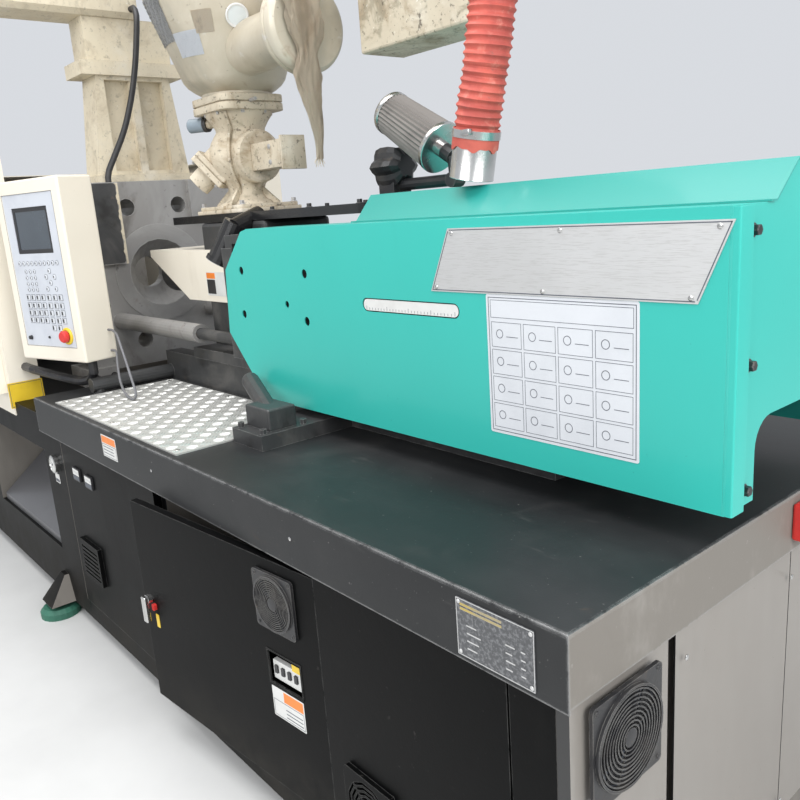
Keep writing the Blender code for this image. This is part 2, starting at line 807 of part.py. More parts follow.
def make_tube(name, finish, parent, points, radius, resolution):
    """A round tube along points, with closed ends, as a curve."""
    curve = bpy.data.curves.new(name, "CURVE")
    curve.dimensions = "3D"
    curve.bevel_depth = radius
    curve.bevel_resolution = resolution
    curve.use_fill_caps = True
    spline = curve.splines.new("POLY")
    spline.points.add(len(points) - 1)
    for slot, point in zip(spline.points, points):
        slot.co = (*point, 1)
    item = bpy.data.objects.new(name, curve)
    bpy.context.collection.objects.link(item)
    item.parent = parent
    curve.materials.append(finish_material(finish))
    return item


def empty(name, at, parent):
    item = bpy.data.objects.new(name, None)
    bpy.context.collection.objects.link(item)
    item.location = at
    item.parent = parent
    return item


# Sizes that several pieces share
TOP_HALF = FRAME_HALF + TOP_LIP
FOOT_OUT = FRAME_HALF + FOOT_REACH
FRAME_TOP = BED_TOP - SHEET - GAP
PANEL_FACE = FRAME_HALF + GAP + PAN_DEPTH
PANEL_TOP = BED_TOP - APRON_DROP - SEAM
PANEL_BOTTOM = PLINTH_TOP + GAP
FRAME_RIGHT = BED_RIGHT - SHEET - SEAM - PAN_DEPTH - GAP
END_FACE = FRAME_RIGHT + GAP + PAN_DEPTH
LEFT_POST_RIGHT = HIGH_BED_LEFT + FRONT_POST_WIDTH
RIGHT_POST_LEFT = FRAME_RIGHT - CORNER_POST_WIDTH
DOOR_LEFT = DOOR_RIGHT - DOOR_WIDTH
ON_BED = BED_TOP + GAP
ON_CLAMP_BED = CLAMP_BED_TOP + GAP
TIE_PLACES = [(y, AXIS_Z + z) for y in (-TIE_OFFSET, TIE_OFFSET) for z in (-TIE_OFFSET, TIE_OFFSET)]
PLATEN_TOP = AXIS_Z + PLATEN_HALF
PLATEN_BACK = PLATEN_FACE - PLATEN_THICK
MOVING_BACK = MOVING_FACE - MOVING_THICK
REAR_BACK = REAR_FACE - REAR_THICK
GUARD_INNER_HALF = PANEL_FACE + GAP
GUARD_HALF = GUARD_INNER_HALF + GUARD_WALL
GUARD_END_HALF = GUARD_INNER_HALF - GUARD_END_RETURN
GUARD_ROOF_HALF = GUARD_INNER_HALF - GUARD_ROOF_RETURN
GUARD_LEFT = BED_LEFT - GAP - GUARD_WALL
SLIDE_BOTTOM = HOUSING_TOP + GAP
SLIDE_TOP = SLIDE_BOTTOM + SLIDE_THICK
COVER_INNER = COVER_HALF - SHEET
END_COVER_LEFT = COVER_RIGHT + GAP
END_COVER_RIGHT = END_COVER_LEFT + SHEET


# Bed

def bed_bracket(x, side):
    """A sloping bracket that carries one levelling foot."""
    def ring(width, reach, z):
        near = side * (PANEL_FACE + GAP)
        far = side * (PANEL_FACE + reach)
        return [(x - width / 2, near, z), (x + width / 2, near, z), (x + width / 2, far, z),
                (x - width / 2, far, z)]
    low, high = sorted((side * (PANEL_FACE - SINK), side * (PANEL_FACE + SINK)))
    neck = block(x - BRACKET_TOP_WIDTH / 2, x + BRACKET_TOP_WIDTH / 2, low, high, BRACKET_BOTTOM + SINK,
                 PLINTH_TOP)
    return [neck, lofted([ring(BRACKET_WIDTH, BRACKET_REACH, BRACKET_BOTTOM),
                          ring(BRACKET_TOP_WIDTH, BRACKET_TOP_REACH, BRACKET_TOP)])]


def rear_panels():
    """Raised sheets on the back of the high bed, and the louvres pressed in them."""
    width = (FRAME_RIGHT - HIGH_BED_LEFT) / REAR_PANEL_COUNT
    sheets = []
    louvres = []
    for i in range(REAR_PANEL_COUNT):
        left = HIGH_BED_LEFT + width * i + SEAM
        sheets.append(block(left, left + width - SEAM, FRAME_HALF - SINK, PANEL_FACE, PLINTH_TOP + SEAM,
                            PANEL_TOP))
        middle = left + width / 2
        for row in range(LOUVRE_COUNT):
            top = LOUVRE_TOP - row * LOUVRE_PITCH
            louvres.append(block(middle - LOUVRE_LENGTH / 2, middle + LOUVRE_LENGTH / 2,
                                 PANEL_FACE - LOUVRE_DEPTH, PANEL_FACE + OVERRUN, top - LOUVRE_HEIGHT, top))
    return sheets, louvres


def build_bed(root):
    """The welded base, its folded top sheet and the levelling feet."""
    sheets, louvres = rear_panels()
    posts = [block(HIGH_BED_LEFT, LEFT_POST_RIGHT, -PANEL_FACE, -FRAME_HALF + SINK, PLINTH_TOP - SINK,
                   PANEL_TOP),
             block(RIGHT_POST_LEFT, FRAME_RIGHT, -PANEL_FACE, -FRAME_HALF + SINK, PLINTH_TOP - SINK,
                   PANEL_TOP)]
    high_bed = block(HIGH_BED_LEFT, FRAME_RIGHT, -FRAME_HALF, FRAME_HALF, PLINTH_TOP - SINK, FRAME_TOP)
    clamp_bed = block(BED_LEFT, HIGH_BED_LEFT + SINK, -PANEL_FACE, PANEL_FACE, PLINTH_TOP - SINK,
                      CLAMP_BED_TOP)
    plinth = block(BED_LEFT, END_FACE, -PANEL_FACE, PANEL_FACE, FOOT_CLEAR, PLINTH_TOP)
    brackets = [solid for x in FOOT_PLACES for side in (-1, 1) for solid in bed_bracket(x, side)]
    cabinet = block(CABINET_LEFT, CABINET_RIGHT, -FRAME_HALF - OVERRUN, CABINET_BACK, CABINET_SILL,
                    CABINET_HEAD)
    bay = block(SHAFT_LEFT, CHUTE_BAY_RIGHT, -PANEL_FACE - OVERRUN, CHUTE_BAY_BACK, CHUTE_SILL, CHUTE_HEAD)
    shaft = block(SHAFT_LEFT, SHAFT_RIGHT, -SHAFT_HALF, SHAFT_HALF, CHUTE_HEAD - SINK, CLAMP_BED_TOP
                  + OVERRUN)
    make("bed_frame", "charcoal_paint", root, plinth, add=[clamp_bed, high_bed, *posts, *sheets, *brackets],
         cut=[cabinet, bay, shaft, *louvres])

    top = block(HIGH_BED_LEFT, BED_RIGHT, -TOP_HALF, TOP_HALF, BED_TOP - APRON_DROP, BED_TOP,
                bevel=EDGE_BEVEL, only_top=True)
    hollow = block(HIGH_BED_LEFT - OVERRUN, BED_RIGHT - SHEET, -TOP_HALF + SHEET, TOP_HALF - SHEET,
                   BED_TOP - APRON_DROP - OVERRUN, BED_TOP - SHEET)
    end_trim = block(BED_RIGHT - SHEET - SINK, BED_RIGHT + OVERRUN, -TOP_HALF + SHEET, TOP_HALF - SHEET,
                     BED_TOP - APRON_DROP - OVERRUN, BED_TOP - END_APRON_DROP)
    make("bed_top", "charcoal_paint", root, top, cut=[hollow, end_trim])

    screw_top = BRACKET_BOTTOM - GAP
    profile = [(0, 0), (PAD_RADIUS, 0), (PAD_RADIUS, PAD_EDGE), (PAD_SHOULDER, PAD_HEIGHT),
               (FOOT_SCREW_RADIUS, PAD_HEIGHT), (FOOT_SCREW_RADIUS, screw_top), (0, screw_top)]
    number = 0
    for x in FOOT_PLACES:
        for side in (-1, 1):
            number += 1
            place = (x, side * FOOT_OUT, 0)
            make(f"levelling_mount_{number}", "green_pad", root, turned(profile, place, AXES["z"]), at=place)


def pan(x0, x1, z0, z1, face, depth):
    """The block and the pocket of a folded sheet pan that faces the operator."""
    body = block(x0, x1, -face, -face + depth, z0, z1)
    pocket = block(x0 + PAN_WALL, x1 - PAN_WALL, -face + PAN_WALL, -face + depth + OVERRUN, z0 + PAN_WALL,
                   z1 - PAN_WALL)
    return body, pocket


def fan_guard(centre, axis, face, outwards, size=FAN_SIZE):
    """A square guard with rings of arc slots between four spokes."""
    half = size / 2
    rim = half - FAN_RIM
    pitch = (rim - FAN_HUB) / FAN_RINGS
    slots = []
    for ring in range(FAN_RINGS):
        inner = FAN_HUB + pitch * ring
        outer = inner + pitch - FAN_RING_WIDTH
        for quarter in range(4):
            start = HALF_TURN / 4 + quarter * HALF_TURN / 2
            inner_gap = math.asin(FAN_SPOKE_HALF / inner)
            outer_gap = math.asin(FAN_SPOKE_HALF / outer)
            low = circle(centre, inner, FAN_ARC_STEPS, start + inner_gap, HALF_TURN / 2 - 2 * inner_gap,
                         closed=False)
            high = circle(centre, outer, FAN_ARC_STEPS, start + outer_gap, HALF_TURN / 2 - 2 * outer_gap,
                          closed=False)
            slots.append(low + high[::-1])
    outline = rectangle(centre[0] - half, centre[0] + half, centre[1] - half, centre[1] + half, FAN_CHAMFER)
    return prism(outline, axis, face + outwards * GAP, face + outwards * (GAP + FAN_THICK), slots)


def build_front_panels(root):
    """The fixed sheets on the operator's side and on the injection end, with their guards."""
    body, pocket = pan(LEFT_POST_RIGHT + SEAM, DOOR_LEFT - SEAM, PANEL_BOTTOM, PANEL_TOP, PANEL_FACE,
                       PAN_DEPTH)
    vent = block(VENT_X - VENT_WIDTH / 2, VENT_X + VENT_WIDTH / 2, -PANEL_FACE - VENT_THICK, -PANEL_FACE
                 + SINK / 2,
                 VENT_Z - VENT_HEIGHT / 2, VENT_Z + VENT_HEIGHT / 2)
    slat = (VENT_HEIGHT - 2 * VENT_BORDER) / VENT_SLATS
    grooves = [block(VENT_X - VENT_WIDTH / 2 + VENT_BORDER, VENT_X + VENT_WIDTH / 2 - VENT_BORDER,
                     -PANEL_FACE - VENT_THICK - OVERRUN, -PANEL_FACE - SINK,
                     VENT_Z - VENT_HEIGHT / 2 + VENT_BORDER + slat * i,
                     VENT_Z - VENT_HEIGHT / 2 + VENT_BORDER + slat * i + slat / 2) for i in range(VENT_SLATS)]
    make("left_panel", "charcoal_paint", root, body, add=[vent], cut=[pocket, *grooves])

    body, pocket = pan(DOOR_RIGHT + HINGE_CLEAR, RIGHT_POST_LEFT - SEAM, PANEL_BOTTOM, PANEL_TOP,
                       PANEL_FACE, PAN_DEPTH)
    guard = fan_guard((SIDE_FAN_X, SIDE_FAN_Z), "y", -PANEL_FACE + SINK, -1)
    make("right_panel", "charcoal_paint", root, body, add=[guard], cut=[pocket])

    end_top = BED_TOP - END_APRON_DROP - SEAM
    body = block(FRAME_RIGHT + GAP, END_FACE, -PANEL_FACE, PANEL_FACE, PANEL_BOTTOM, end_top)
    pocket = block(FRAME_RIGHT - OVERRUN, END_FACE - PAN_WALL, -PANEL_FACE + PAN_WALL, PANEL_FACE - PAN_WALL,
                   PANEL_BOTTOM + PAN_WALL, end_top - PAN_WALL)
    slot_front = -FRAME_HALF + END_SLOT_IN
    slot = block(FRAME_RIGHT - OVERRUN, END_FACE + OVERRUN, slot_front, slot_front + END_SLOT_WIDTH,
                 END_SLOT_BOTTOM, end_top + OVERRUN)
    seam = block(END_FACE - END_SEAM_DEPTH, END_FACE + OVERRUN, END_SEAM_Y, END_SEAM_Y + END_SEAM_WIDTH,
                 PANEL_BOTTOM - OVERRUN, end_top + OVERRUN)
    make("end_panel", "grey_plate", root, body, cut=[pocket, slot, seam])
    make("fan_guard_end", "black_iron", root,
         fan_guard((-FRAME_HALF + END_FAN_IN, END_FAN_Z), "x", END_FACE, 1, size=END_FAN_SIZE))


def build_cabinet_door(root):
    """The electric cabinet's door, ajar on its hinge line, with its fan guard and latch."""
    pivot = (DOOR_RIGHT, -PANEL_FACE, 0)
    hinge = empty("cabinet_door_hinge", pivot, root)
    hinge.rotation_euler = (0, 0, math.radians(DOOR_REST_DEG))
    # From here the door is drawn closed, about its hinge line, and the hinge opens it
    left, right = -DOOR_WIDTH, -HINGE_CLEAR
    body = block(left, right, 0, DOOR_PAN, DOOR_BOTTOM, DOOR_TOP)
    pocket = block(left + PAN_WALL, right - PAN_WALL, PAN_WALL, DOOR_PAN + OVERRUN,
                   DOOR_BOTTOM + PAN_WALL, DOOR_TOP - PAN_WALL)
    window_left = WINDOW_LEFT - DOOR_RIGHT
    window = block(window_left, window_left + WINDOW_WIDTH, -OVERRUN, DOOR_PAN + OVERRUN,
                   WINDOW_BOTTOM, WINDOW_BOTTOM + WINDOW_HEIGHT)
    make("cabinet_door", "charcoal_paint", hinge, body, cut=[pocket, window])
    make("fan_guard_door", "black_iron", hinge, fan_guard((DOOR_FAN_X - DOOR_RIGHT, DOOR_FAN_Z), "y", 0, -1,
                                                    size=DOOR_FAN_SIZE))
    latch = (left + LATCH_IN, -GAP, LATCH_HEIGHT)
    lever = block(latch[0] - LATCH_WIDTH / 2, latch[0] + LATCH_WIDTH / 2, -GAP - LATCH_BOSS - LATCH_THICK,
                  -GAP - LATCH_BOSS + SINK, LATCH_HEIGHT - LATCH_LENGTH + LATCH_WIDTH / 2,
                  LATCH_HEIGHT + LATCH_WIDTH / 2, bevel=LATCH_THICK / 4)
    boss = rod(latch, (latch[0], -GAP - LATCH_BOSS, LATCH_HEIGHT), LATCH_BOSS, SMALL_STEPS)
    make("door_latch", "bright_steel", hinge, boss, add=[lever], at=latch)


def stop_button(name, parent, seat, outwards):
    """A mushroom stop button: stem in its socket, head outside, with its travel left under the head."""
    seat = Vector(seat)
    outwards = Vector(outwards)
    neck = STOP_TRAVEL + SINK
    profile = [(0, STOP_TRAVEL + GAP - STOP_SOCKET), (STOP_STEM_RADIUS, STOP_TRAVEL + GAP - STOP_SOCKET),
               (STOP_STEM_RADIUS, neck), (STOP_HEAD_RADIUS, neck),
               (STOP_HEAD_RADIUS, neck + STOP_HEAD_THICK * STOP_RIM_SHARE),
               (STOP_HEAD_RADIUS * STOP_CROWN_SHARE, neck + STOP_HEAD_THICK), (0, neck + STOP_HEAD_THICK)]
    make(name, "red_plastic", parent, turned(profile, seat, outwards, ROUND_STEPS), at=seat)


def build_end_stop(root):
    """The stop box on the end apron and its button."""
    left = BED_RIGHT + GAP
    right = left + STOP_BOX_DEPTH
    half = STOP_BOX_SIZE / 2
    body = block(left, right, STOP_BOX_Y - half, STOP_BOX_Y + half, STOP_BOX_Z - half, STOP_BOX_Z + half,
                 bevel=EDGE_BEVEL)
    socket = rod((right - STOP_SOCKET, STOP_BOX_Y, STOP_BOX_Z), (right + OVERRUN, STOP_BOX_Y, STOP_BOX_Z),
                 STOP_STEM_RADIUS + GAP)
    make("end_stop_box", "red_plastic", root, body, cut=[socket])
    stop_button("end_stop_button", root, (right, STOP_BOX_Y, STOP_BOX_Z), AXES["x"])


def build_tread_and_chute(root):
    """The checker plate on the bed and the folded chute under the mould space."""
    plate = block(TREAD_LEFT, TREAD_RIGHT, -TOP_HALF + TREAD_INSET, TREAD_BACK, ON_BED, ON_BED + TREAD_THICK)
    make("tread_plate", "tread_aluminium", root, plate)
    floor = CHUTE_SILL + GAP
    front = -FRAME_HALF - CHUTE_PROUD
    line = [(CHUTE_BACK, floor), (CHUTE_BACK, CHUTE_BACK_Z), (CHUTE_KNEE_Y, CHUTE_KNEE_Z),
            (front, CHUTE_LIP), (front, floor)]
    make("discharge_chute", "grey_plate", root,
         prism(sheet_outline(line, SHEET), "x", CHUTE_LEFT, CHUTE_RIGHT))


# Clamp unit

def platen_feet(left, right):
    """Two feet under a platen, on the clamp bed."""
    return [block(left, right, min(side * PLATEN_FOOT_INNER, side * PLATEN_HALF),
                  max(side * PLATEN_FOOT_INNER, side * PLATEN_HALF), ON_CLAMP_BED, ON_CLAMP_BED
                  + PLATEN_FOOT_HEIGHT)
            for side in (-1, 1)]


def build_platens(root):
    """The three platens: fixed with its round openings, moving with its ram, and rear with the ram bore."""
    outline = rectangle(-PLATEN_HALF, PLATEN_HALF, PLATEN_BOTTOM, PLATEN_TOP, PLATEN_CHAMFER)
    ring_holes = []
    for i in range(RING_HOLE_COUNT):
        angle = FULL_TURN * (i + 0.5) / RING_HOLE_COUNT
        ring_holes.append(circle((RING_HOLE_CIRCLE * math.cos(angle), AXIS_Z
                                  + RING_HOLE_CIRCLE * math.sin(angle)),
                                 RING_HOLE_RADIUS, RING_HOLE_STEPS))
    tie_holes = [circle(place, TIE_RADIUS + GAP, ROUND_STEPS) for place in TIE_PLACES]
    throat = circle((0, AXIS_Z), CONE_THROAT, ROUND_STEPS)
    body = prism(outline, "x", PLATEN_BACK, PLATEN_FACE, [*ring_holes, *tie_holes, throat])
    cone = rod((PLATEN_FACE - CONE_DEPTH, 0, AXIS_Z), (PLATEN_FACE + GAP, 0, AXIS_Z), CONE_THROAT + GAP,
               ROUND_STEPS, end_radius=CONE_MOUTH)
    pulls = []
    bores = []
    for side in (-1, 1):
        y = side * PULL_ROD_OFFSET
        pulls.append(rod((PLATEN_FACE - SINK, y, PULL_ROD_Z), (PULL_BODY_RIGHT, y, PULL_ROD_Z),
                         PULL_BODY_RADIUS))
        bores.append(rod((PULL_BODY_FLOOR, y, PULL_ROD_Z), (PULL_BODY_RIGHT + OVERRUN, y, PULL_ROD_Z),
                         PULL_ROD_RADIUS + PULL_CLEAR))
    cover_top = PLATEN_TOP - PLATEN_COVER_DROP
    covers = [block(PLATEN_FACE - SINK, PLATEN_FACE + NEAR_COVER_PROUD, -PLATEN_COVER_OUTER,
                    -PLATEN_COVER_INNER, NEAR_COVER_BOTTOM, cover_top),
              block(PLATEN_FACE - SINK, PLATEN_FACE + FAR_COVER_PROUD, PLATEN_COVER_INNER,
                    PLATEN_COVER_OUTER, FAR_COVER_BOTTOM, cover_top)]
    feet = platen_feet(PLATEN_BACK - PLATEN_FOOT_SPREAD, PLATEN_FACE + PLATEN_FOOT_SPREAD)
    make("fixed_platen", "worn_steel", root, body, add=[*feet, *covers, *pulls],
         cut=[cone, *bores], at=(PLATEN_FACE, 0, AXIS_Z))

    slide = empty("clamp_slide", (MOVING_FACE, 0, AXIS_Z), root)
    slide_holes = [circle(place, TIE_RADIUS + TIE_CLEAR, ROUND_STEPS) for place in TIE_PLACES]
    pin_holes = [circle((y, AXIS_Z + z), EJECTOR_PIN_RADIUS + TIE_CLEAR, SMALL_STEPS)
                 for y in (-EJECTOR_PIN_OFFSET, EJECTOR_PIN_OFFSET)
                 for z in (-EJECTOR_PIN_OFFSET, EJECTOR_PIN_OFFSET)]
    body = prism(outline, "x", MOVING_BACK, MOVING_FACE, [*slide_holes, *pin_holes])
    ram = rod((MOVING_BACK - RAM_LENGTH, 0, AXIS_Z), (MOVING_BACK + SINK, 0, AXIS_Z), RAM_RADIUS)
    moving = make("moving_platen", "worn_steel", None, body,
                  add=[*platen_feet(MOVING_BACK - SHOE_BACK, MOVING_FACE - SHOE_FRONT), ram],
                  at=(MOVING_FACE, 0, AXIS_Z))
    hang_on(moving, slide)

    ram_bore = circle((0, AXIS_Z), RAM_RADIUS + TIE_CLEAR, ROUND_STEPS)
    body = prism(outline, "x", REAR_BACK, REAR_FACE, [*tie_holes, ram_bore])
    make("rear_platen", "worn_steel", root, body,
         add=platen_feet(REAR_BACK - PLATEN_FOOT_SPREAD, REAR_FACE + PLATEN_FOOT_SPREAD),
         at=(REAR_FACE, 0, AXIS_Z))


def hang_on(item, holder):
    """Parents a piece, and its helpers, to a holder without moving them."""
    family = [item] + [m.object for m in item.modifiers if m.type == "BOOLEAN"]
    for member in family:
        member.parent = holder
        member.location = Vector(member.location) - Vector(holder.location)


def build_clamp(root):
    """Tie bars with their nuts, the clamp cylinder and the ejector."""
    nut_right = REAR_BACK - GAP
    for number, (y, z) in enumerate(TIE_PLACES, 1):
        nut = rod((nut_right - TIE_NUT_LENGTH, y, z), (nut_right, y, z), TIE_NUT_RADIUS, 6)
        bar = rod((nut_right - TIE_NUT_LENGTH - TIE_INSET, y, z), (PLATEN_FACE - TIE_INSET, y, z), TIE_RADIUS)
        make(f"tie_bar_{number}", "bright_steel", root, bar, add=[nut], at=(nut_right, y, z))

    start = REAR_BACK - GAP
    profile = [(RAM_RADIUS + TIE_CLEAR, 0), (CYLINDER_FLANGE, 0), (CYLINDER_FLANGE, CYLINDER_FLANGE_THICK),
               (CYLINDER_RADIUS, CYLINDER_FLANGE_THICK), (CYLINDER_RADIUS, CYLINDER_LENGTH),
               (0, CYLINDER_LENGTH),
               (0, CYLINDER_LENGTH - CYLINDER_CAP), (RAM_RADIUS + TIE_CLEAR, CYLINDER_LENGTH - CYLINDER_CAP)]
    make("clamp_cylinder", "worn_steel", root, turned(profile, (start, 0, AXIS_Z), -AXES["x"]),
         at=(start, 0, AXIS_Z))

    right = MOVING_BACK - EJECTOR_BEHIND
    left = right - EJECTOR_THICK
    plate = prism(rectangle(-EJECTOR_HALF, EJECTOR_HALF, AXIS_Z - EJECTOR_HALF, AXIS_Z + EJECTOR_HALF,
                            EJECTOR_CHAMFER), "x", left, right, [circle((0, AXIS_Z), RAM_RADIUS + RAM_CLEAR)])
    pins = [rod((right - SINK, y, AXIS_Z + z), (MOVING_FACE - EJECTOR_INSET, y, AXIS_Z + z),
                EJECTOR_PIN_RADIUS,
                SMALL_STEPS) for y in (-EJECTOR_PIN_OFFSET, EJECTOR_PIN_OFFSET)
            for z in (-EJECTOR_PIN_OFFSET, EJECTOR_PIN_OFFSET)]
    make("ejector", "bright_steel", root, plate, add=pins, at=(right, 0, AXIS_Z))


def build_guard(root):
    """The sheet enclosure round the clamp and its two sliding doors."""
    outer = block(GUARD_LEFT, GUARD_RIGHT, -GUARD_HALF, GUARD_HALF, GUARD_BOTTOM, GUARD_TOP)
    inner = block(GUARD_LEFT + GUARD_WALL, GUARD_RIGHT - GUARD_WALL, -GUARD_INNER_HALF, GUARD_INNER_HALF,
                  GUARD_BOTTOM - OVERRUN, GUARD_TOP - GUARD_WALL)
    over_bed = block(GUARD_RIGHT - GUARD_WALL - SINK, GUARD_RIGHT + OVERRUN, -GUARD_INNER_HALF,
                     GUARD_INNER_HALF,
                     GUARD_BOTTOM - OVERRUN, ON_CLAMP_BED)
    end_way = block(GUARD_RIGHT - POST_DEPTH - OVERRUN, GUARD_RIGHT + OVERRUN, -GUARD_END_HALF,
                    GUARD_END_HALF,
                    GUARD_BOTTOM - OVERRUN, GUARD_TOP + OVERRUN)
    roof_way = block(GUARD_ROOF_LEFT, GUARD_RIGHT + OVERRUN, -GUARD_ROOF_HALF, GUARD_ROOF_HALF,
                     GUARD_TOP - GUARD_WALL - SINK, GUARD_TOP + OVERRUN)
    doorways = block(GUARD_DOORWAY_LEFT, GUARD_DOORWAY_RIGHT, -GUARD_HALF - OVERRUN, GUARD_HALF + OVERRUN,
                     GUARD_DOORWAY_BOTTOM, GUARD_DOORWAY_TOP)
    vents = [block(GUARD_LEFT - OVERRUN, GUARD_LEFT + GUARD_WALL + SINK, -GUARD_VENT_LENGTH / 2,
                   GUARD_VENT_LENGTH / 2, GUARD_VENT_TOP - i * GUARD_VENT_PITCH - GUARD_VENT_HEIGHT,
                   GUARD_VENT_TOP - i * GUARD_VENT_PITCH) for i in range(GUARD_VENT_COUNT)]
    posts = [block(GUARD_RIGHT - POST_DEPTH, GUARD_RIGHT - SINK / 2,
                   min(side * GUARD_INNER_HALF + side * SINK, side * (GUARD_INNER_HALF - POST_WIDTH)),
                   max(side * GUARD_INNER_HALF + side * SINK, side * (GUARD_INNER_HALF - POST_WIDTH)),
                   ON_CLAMP_BED, GUARD_TOP - SINK) for side in (-1, 1)]
    frame = make("guard_frame", "cream_paint", root, outer,
                 cut=[inner, over_bed, end_way, roof_way, doorways, *vents])
    add_boolean(frame, "guard_frame_posts", posts, "UNION", (0, 0, 0), root)
    for name, side in (("front_guard_door", -1), ("rear_guard_door", 1)):
        build_guard_door(name, side, root)


def build_guard_door(name, side, root):
    """A sliding sheet door with a thin pane area and a bow handle."""
    left = GUARD_DOORWAY_LEFT - GUARD_DOOR_LAP
    right = GUARD_DOORWAY_RIGHT + GUARD_DOOR_LAP
    bottom = GUARD_DOORWAY_BOTTOM - GUARD_DOOR_LAP
    top = GUARD_DOORWAY_TOP + GUARD_DOOR_LAP
    back = GUARD_HALF + GAP
    face = back + GUARD_DOOR_THICK

    def span(near, far):
        return (min(side * near, side * far), max(side * near, side * far))

    body = block(left, right, *span(back, face), bottom, top)
    pocket = block(left + GUARD_DOOR_SHEET, right - GUARD_DOOR_SHEET,
                   *span(back - OVERRUN, face - GUARD_DOOR_SHEET),
                   bottom + GUARD_DOOR_SHEET, top - GUARD_DOOR_SHEET)
    pane = block(left + GUARD_DOOR_BORDER, right - GUARD_DOOR_BORDER,
                 *span(face - GUARD_DOOR_SHEET / 2, face + OVERRUN),
                 (bottom + top) / 2 - GUARD_DOOR_BORDER, top - GUARD_DOOR_BORDER)
    x = right - GUARD_HANDLE_IN
    low = bottom + GUARD_HANDLE_UP
    high = low + GUARD_HANDLE_LENGTH
    out = face + GUARD_HANDLE_OUT
    handle = [rod((x, side * out, low), (x, side * out, high), GUARD_HANDLE_RADIUS, SMALL_STEPS),
              rod((x, side * (face - SINK), low + GUARD_HANDLE_RADIUS),
                  (x, side * out, low + GUARD_HANDLE_RADIUS),
                  GUARD_HANDLE_FOOT_RADIUS, SMALL_STEPS),
              rod((x, side * (face - SINK), high - GUARD_HANDLE_RADIUS),
                  (x, side * out, high - GUARD_HANDLE_RADIUS),
                  GUARD_HANDLE_FOOT_RADIUS, SMALL_STEPS)]
    door = make(name, "cream_paint", root, body, cut=[pocket, pane], at=(right, side * back, bottom))
    add_boolean(door, name + "_handle", handle, "UNION", (right, side * back, bottom), root)


# Control panel

def build_panel(root):
    """The swivelling control panel: housing, keypad with its screen, stop button, and the pipe arm."""
    turn = math.radians(PANEL_TURN_DEG)
    corner = Vector((PANEL_CORNER_X, -GUARD_INNER_HALF + PANEL_CORNER_IN, PANEL_FLOOR))
    across = Vector((math.cos(turn), math.sin(turn), 0))
    inwards = Vector((-math.sin(turn), math.cos(turn), 0))
    pivot = corner - across * PIVOT_IN + inwards * PIVOT_BACK
    swivel = empty("panel_swivel", pivot, root)
    swivel.rotation_euler = (0, 0, turn)
    # From here the panel is drawn square, about its swivel axis
    right, front = PIVOT_IN, -PIVOT_BACK
    left, back = right - PANEL_WIDTH, front + PANEL_DEPTH
    body = block(left, right, front, back, 0, PANEL_HEIGHT, bevel=PANEL_BEVEL)
    bezel_left, bezel_right = left + BEZEL_SIDE, right - BEZEL_SIDE
    bezel_low, bezel_high = BEZEL_BOTTOM, PANEL_HEIGHT - BEZEL_TOP
    recess = block(bezel_left, bezel_right, front - OVERRUN, front + BEZEL_RECESS, bezel_low, bezel_high)
    stop_x, stop_z = bezel_right - PANEL_STOP_IN, bezel_low + PANEL_STOP_UP
    plate_face = front + BEZEL_RECESS - GAP - BEZEL_THICK
    socket = rod((stop_x, front - OVERRUN, stop_z), (stop_x, plate_face + STOP_SOCKET, stop_z),
                 STOP_STEM_RADIUS + GAP)
    socket_again = rod((stop_x, front - OVERRUN, stop_z), (stop_x, plate_face + STOP_SOCKET, stop_z),
                       STOP_STEM_RADIUS + GAP)
    make("panel_housing", "cream_paint", swivel, body, cut=[recess, socket])

    plate = block(bezel_left + GAP, bezel_right - GAP, plate_face, front + BEZEL_RECESS - GAP,
                  bezel_low + GAP, bezel_high - GAP)
    middle = (bezel_left + bezel_right) / 2
    screen = block(middle - SCREEN_WIDTH / 2, middle + SCREEN_WIDTH / 2, plate_face - OVERRUN,
                   plate_face + SCREEN_RECESS, bezel_high - SCREEN_DROP - SCREEN_HEIGHT, bezel_high
                   - SCREEN_DROP)
    key_top = bezel_high - KEY_TOP
    keys = []
    for row in range(KEY_ROWS):
        for column in range(KEY_COLUMNS):
            x = middle + (column - (KEY_COLUMNS - 1) / 2) * KEY_PITCH_X
            z = key_top - row * KEY_PITCH_Z
            keys.append(block(x - KEY_WIDTH / 2, x + KEY_WIDTH / 2, plate_face - KEY_PROUD, plate_face + SINK,
                              z - KEY_HEIGHT / 2, z + KEY_HEIGHT / 2))
    make("panel_keypad", "keypad", swivel, plate, add=keys, cut=[screen, socket_again])
    stop_button("panel_stop_button", swivel, (stop_x, plate_face, stop_z), -AXES["y"])

    post_face = GUARD_RIGHT + GAP
    post_y = -GUARD_INNER_HALF + POST_WIDTH
    top = corner.z - GAP
    route = [(post_face, post_y, top - ARM_DROP), (post_face + ARM_LEAD, post_y, top - ARM_DROP),
             (pivot.x - ARM_LEAD, pivot.y - ARM_SWAY, top - ARM_DIP), (pivot.x, pivot.y, top - ARM_RISE),
             (pivot.x, pivot.y, top)]
    spacing = ARM_RADIUS * 2
    make_tube("panel_arm", "black_iron", root, smooth_route(route, spacing), ARM_RADIUS, 3)


# Injection unit

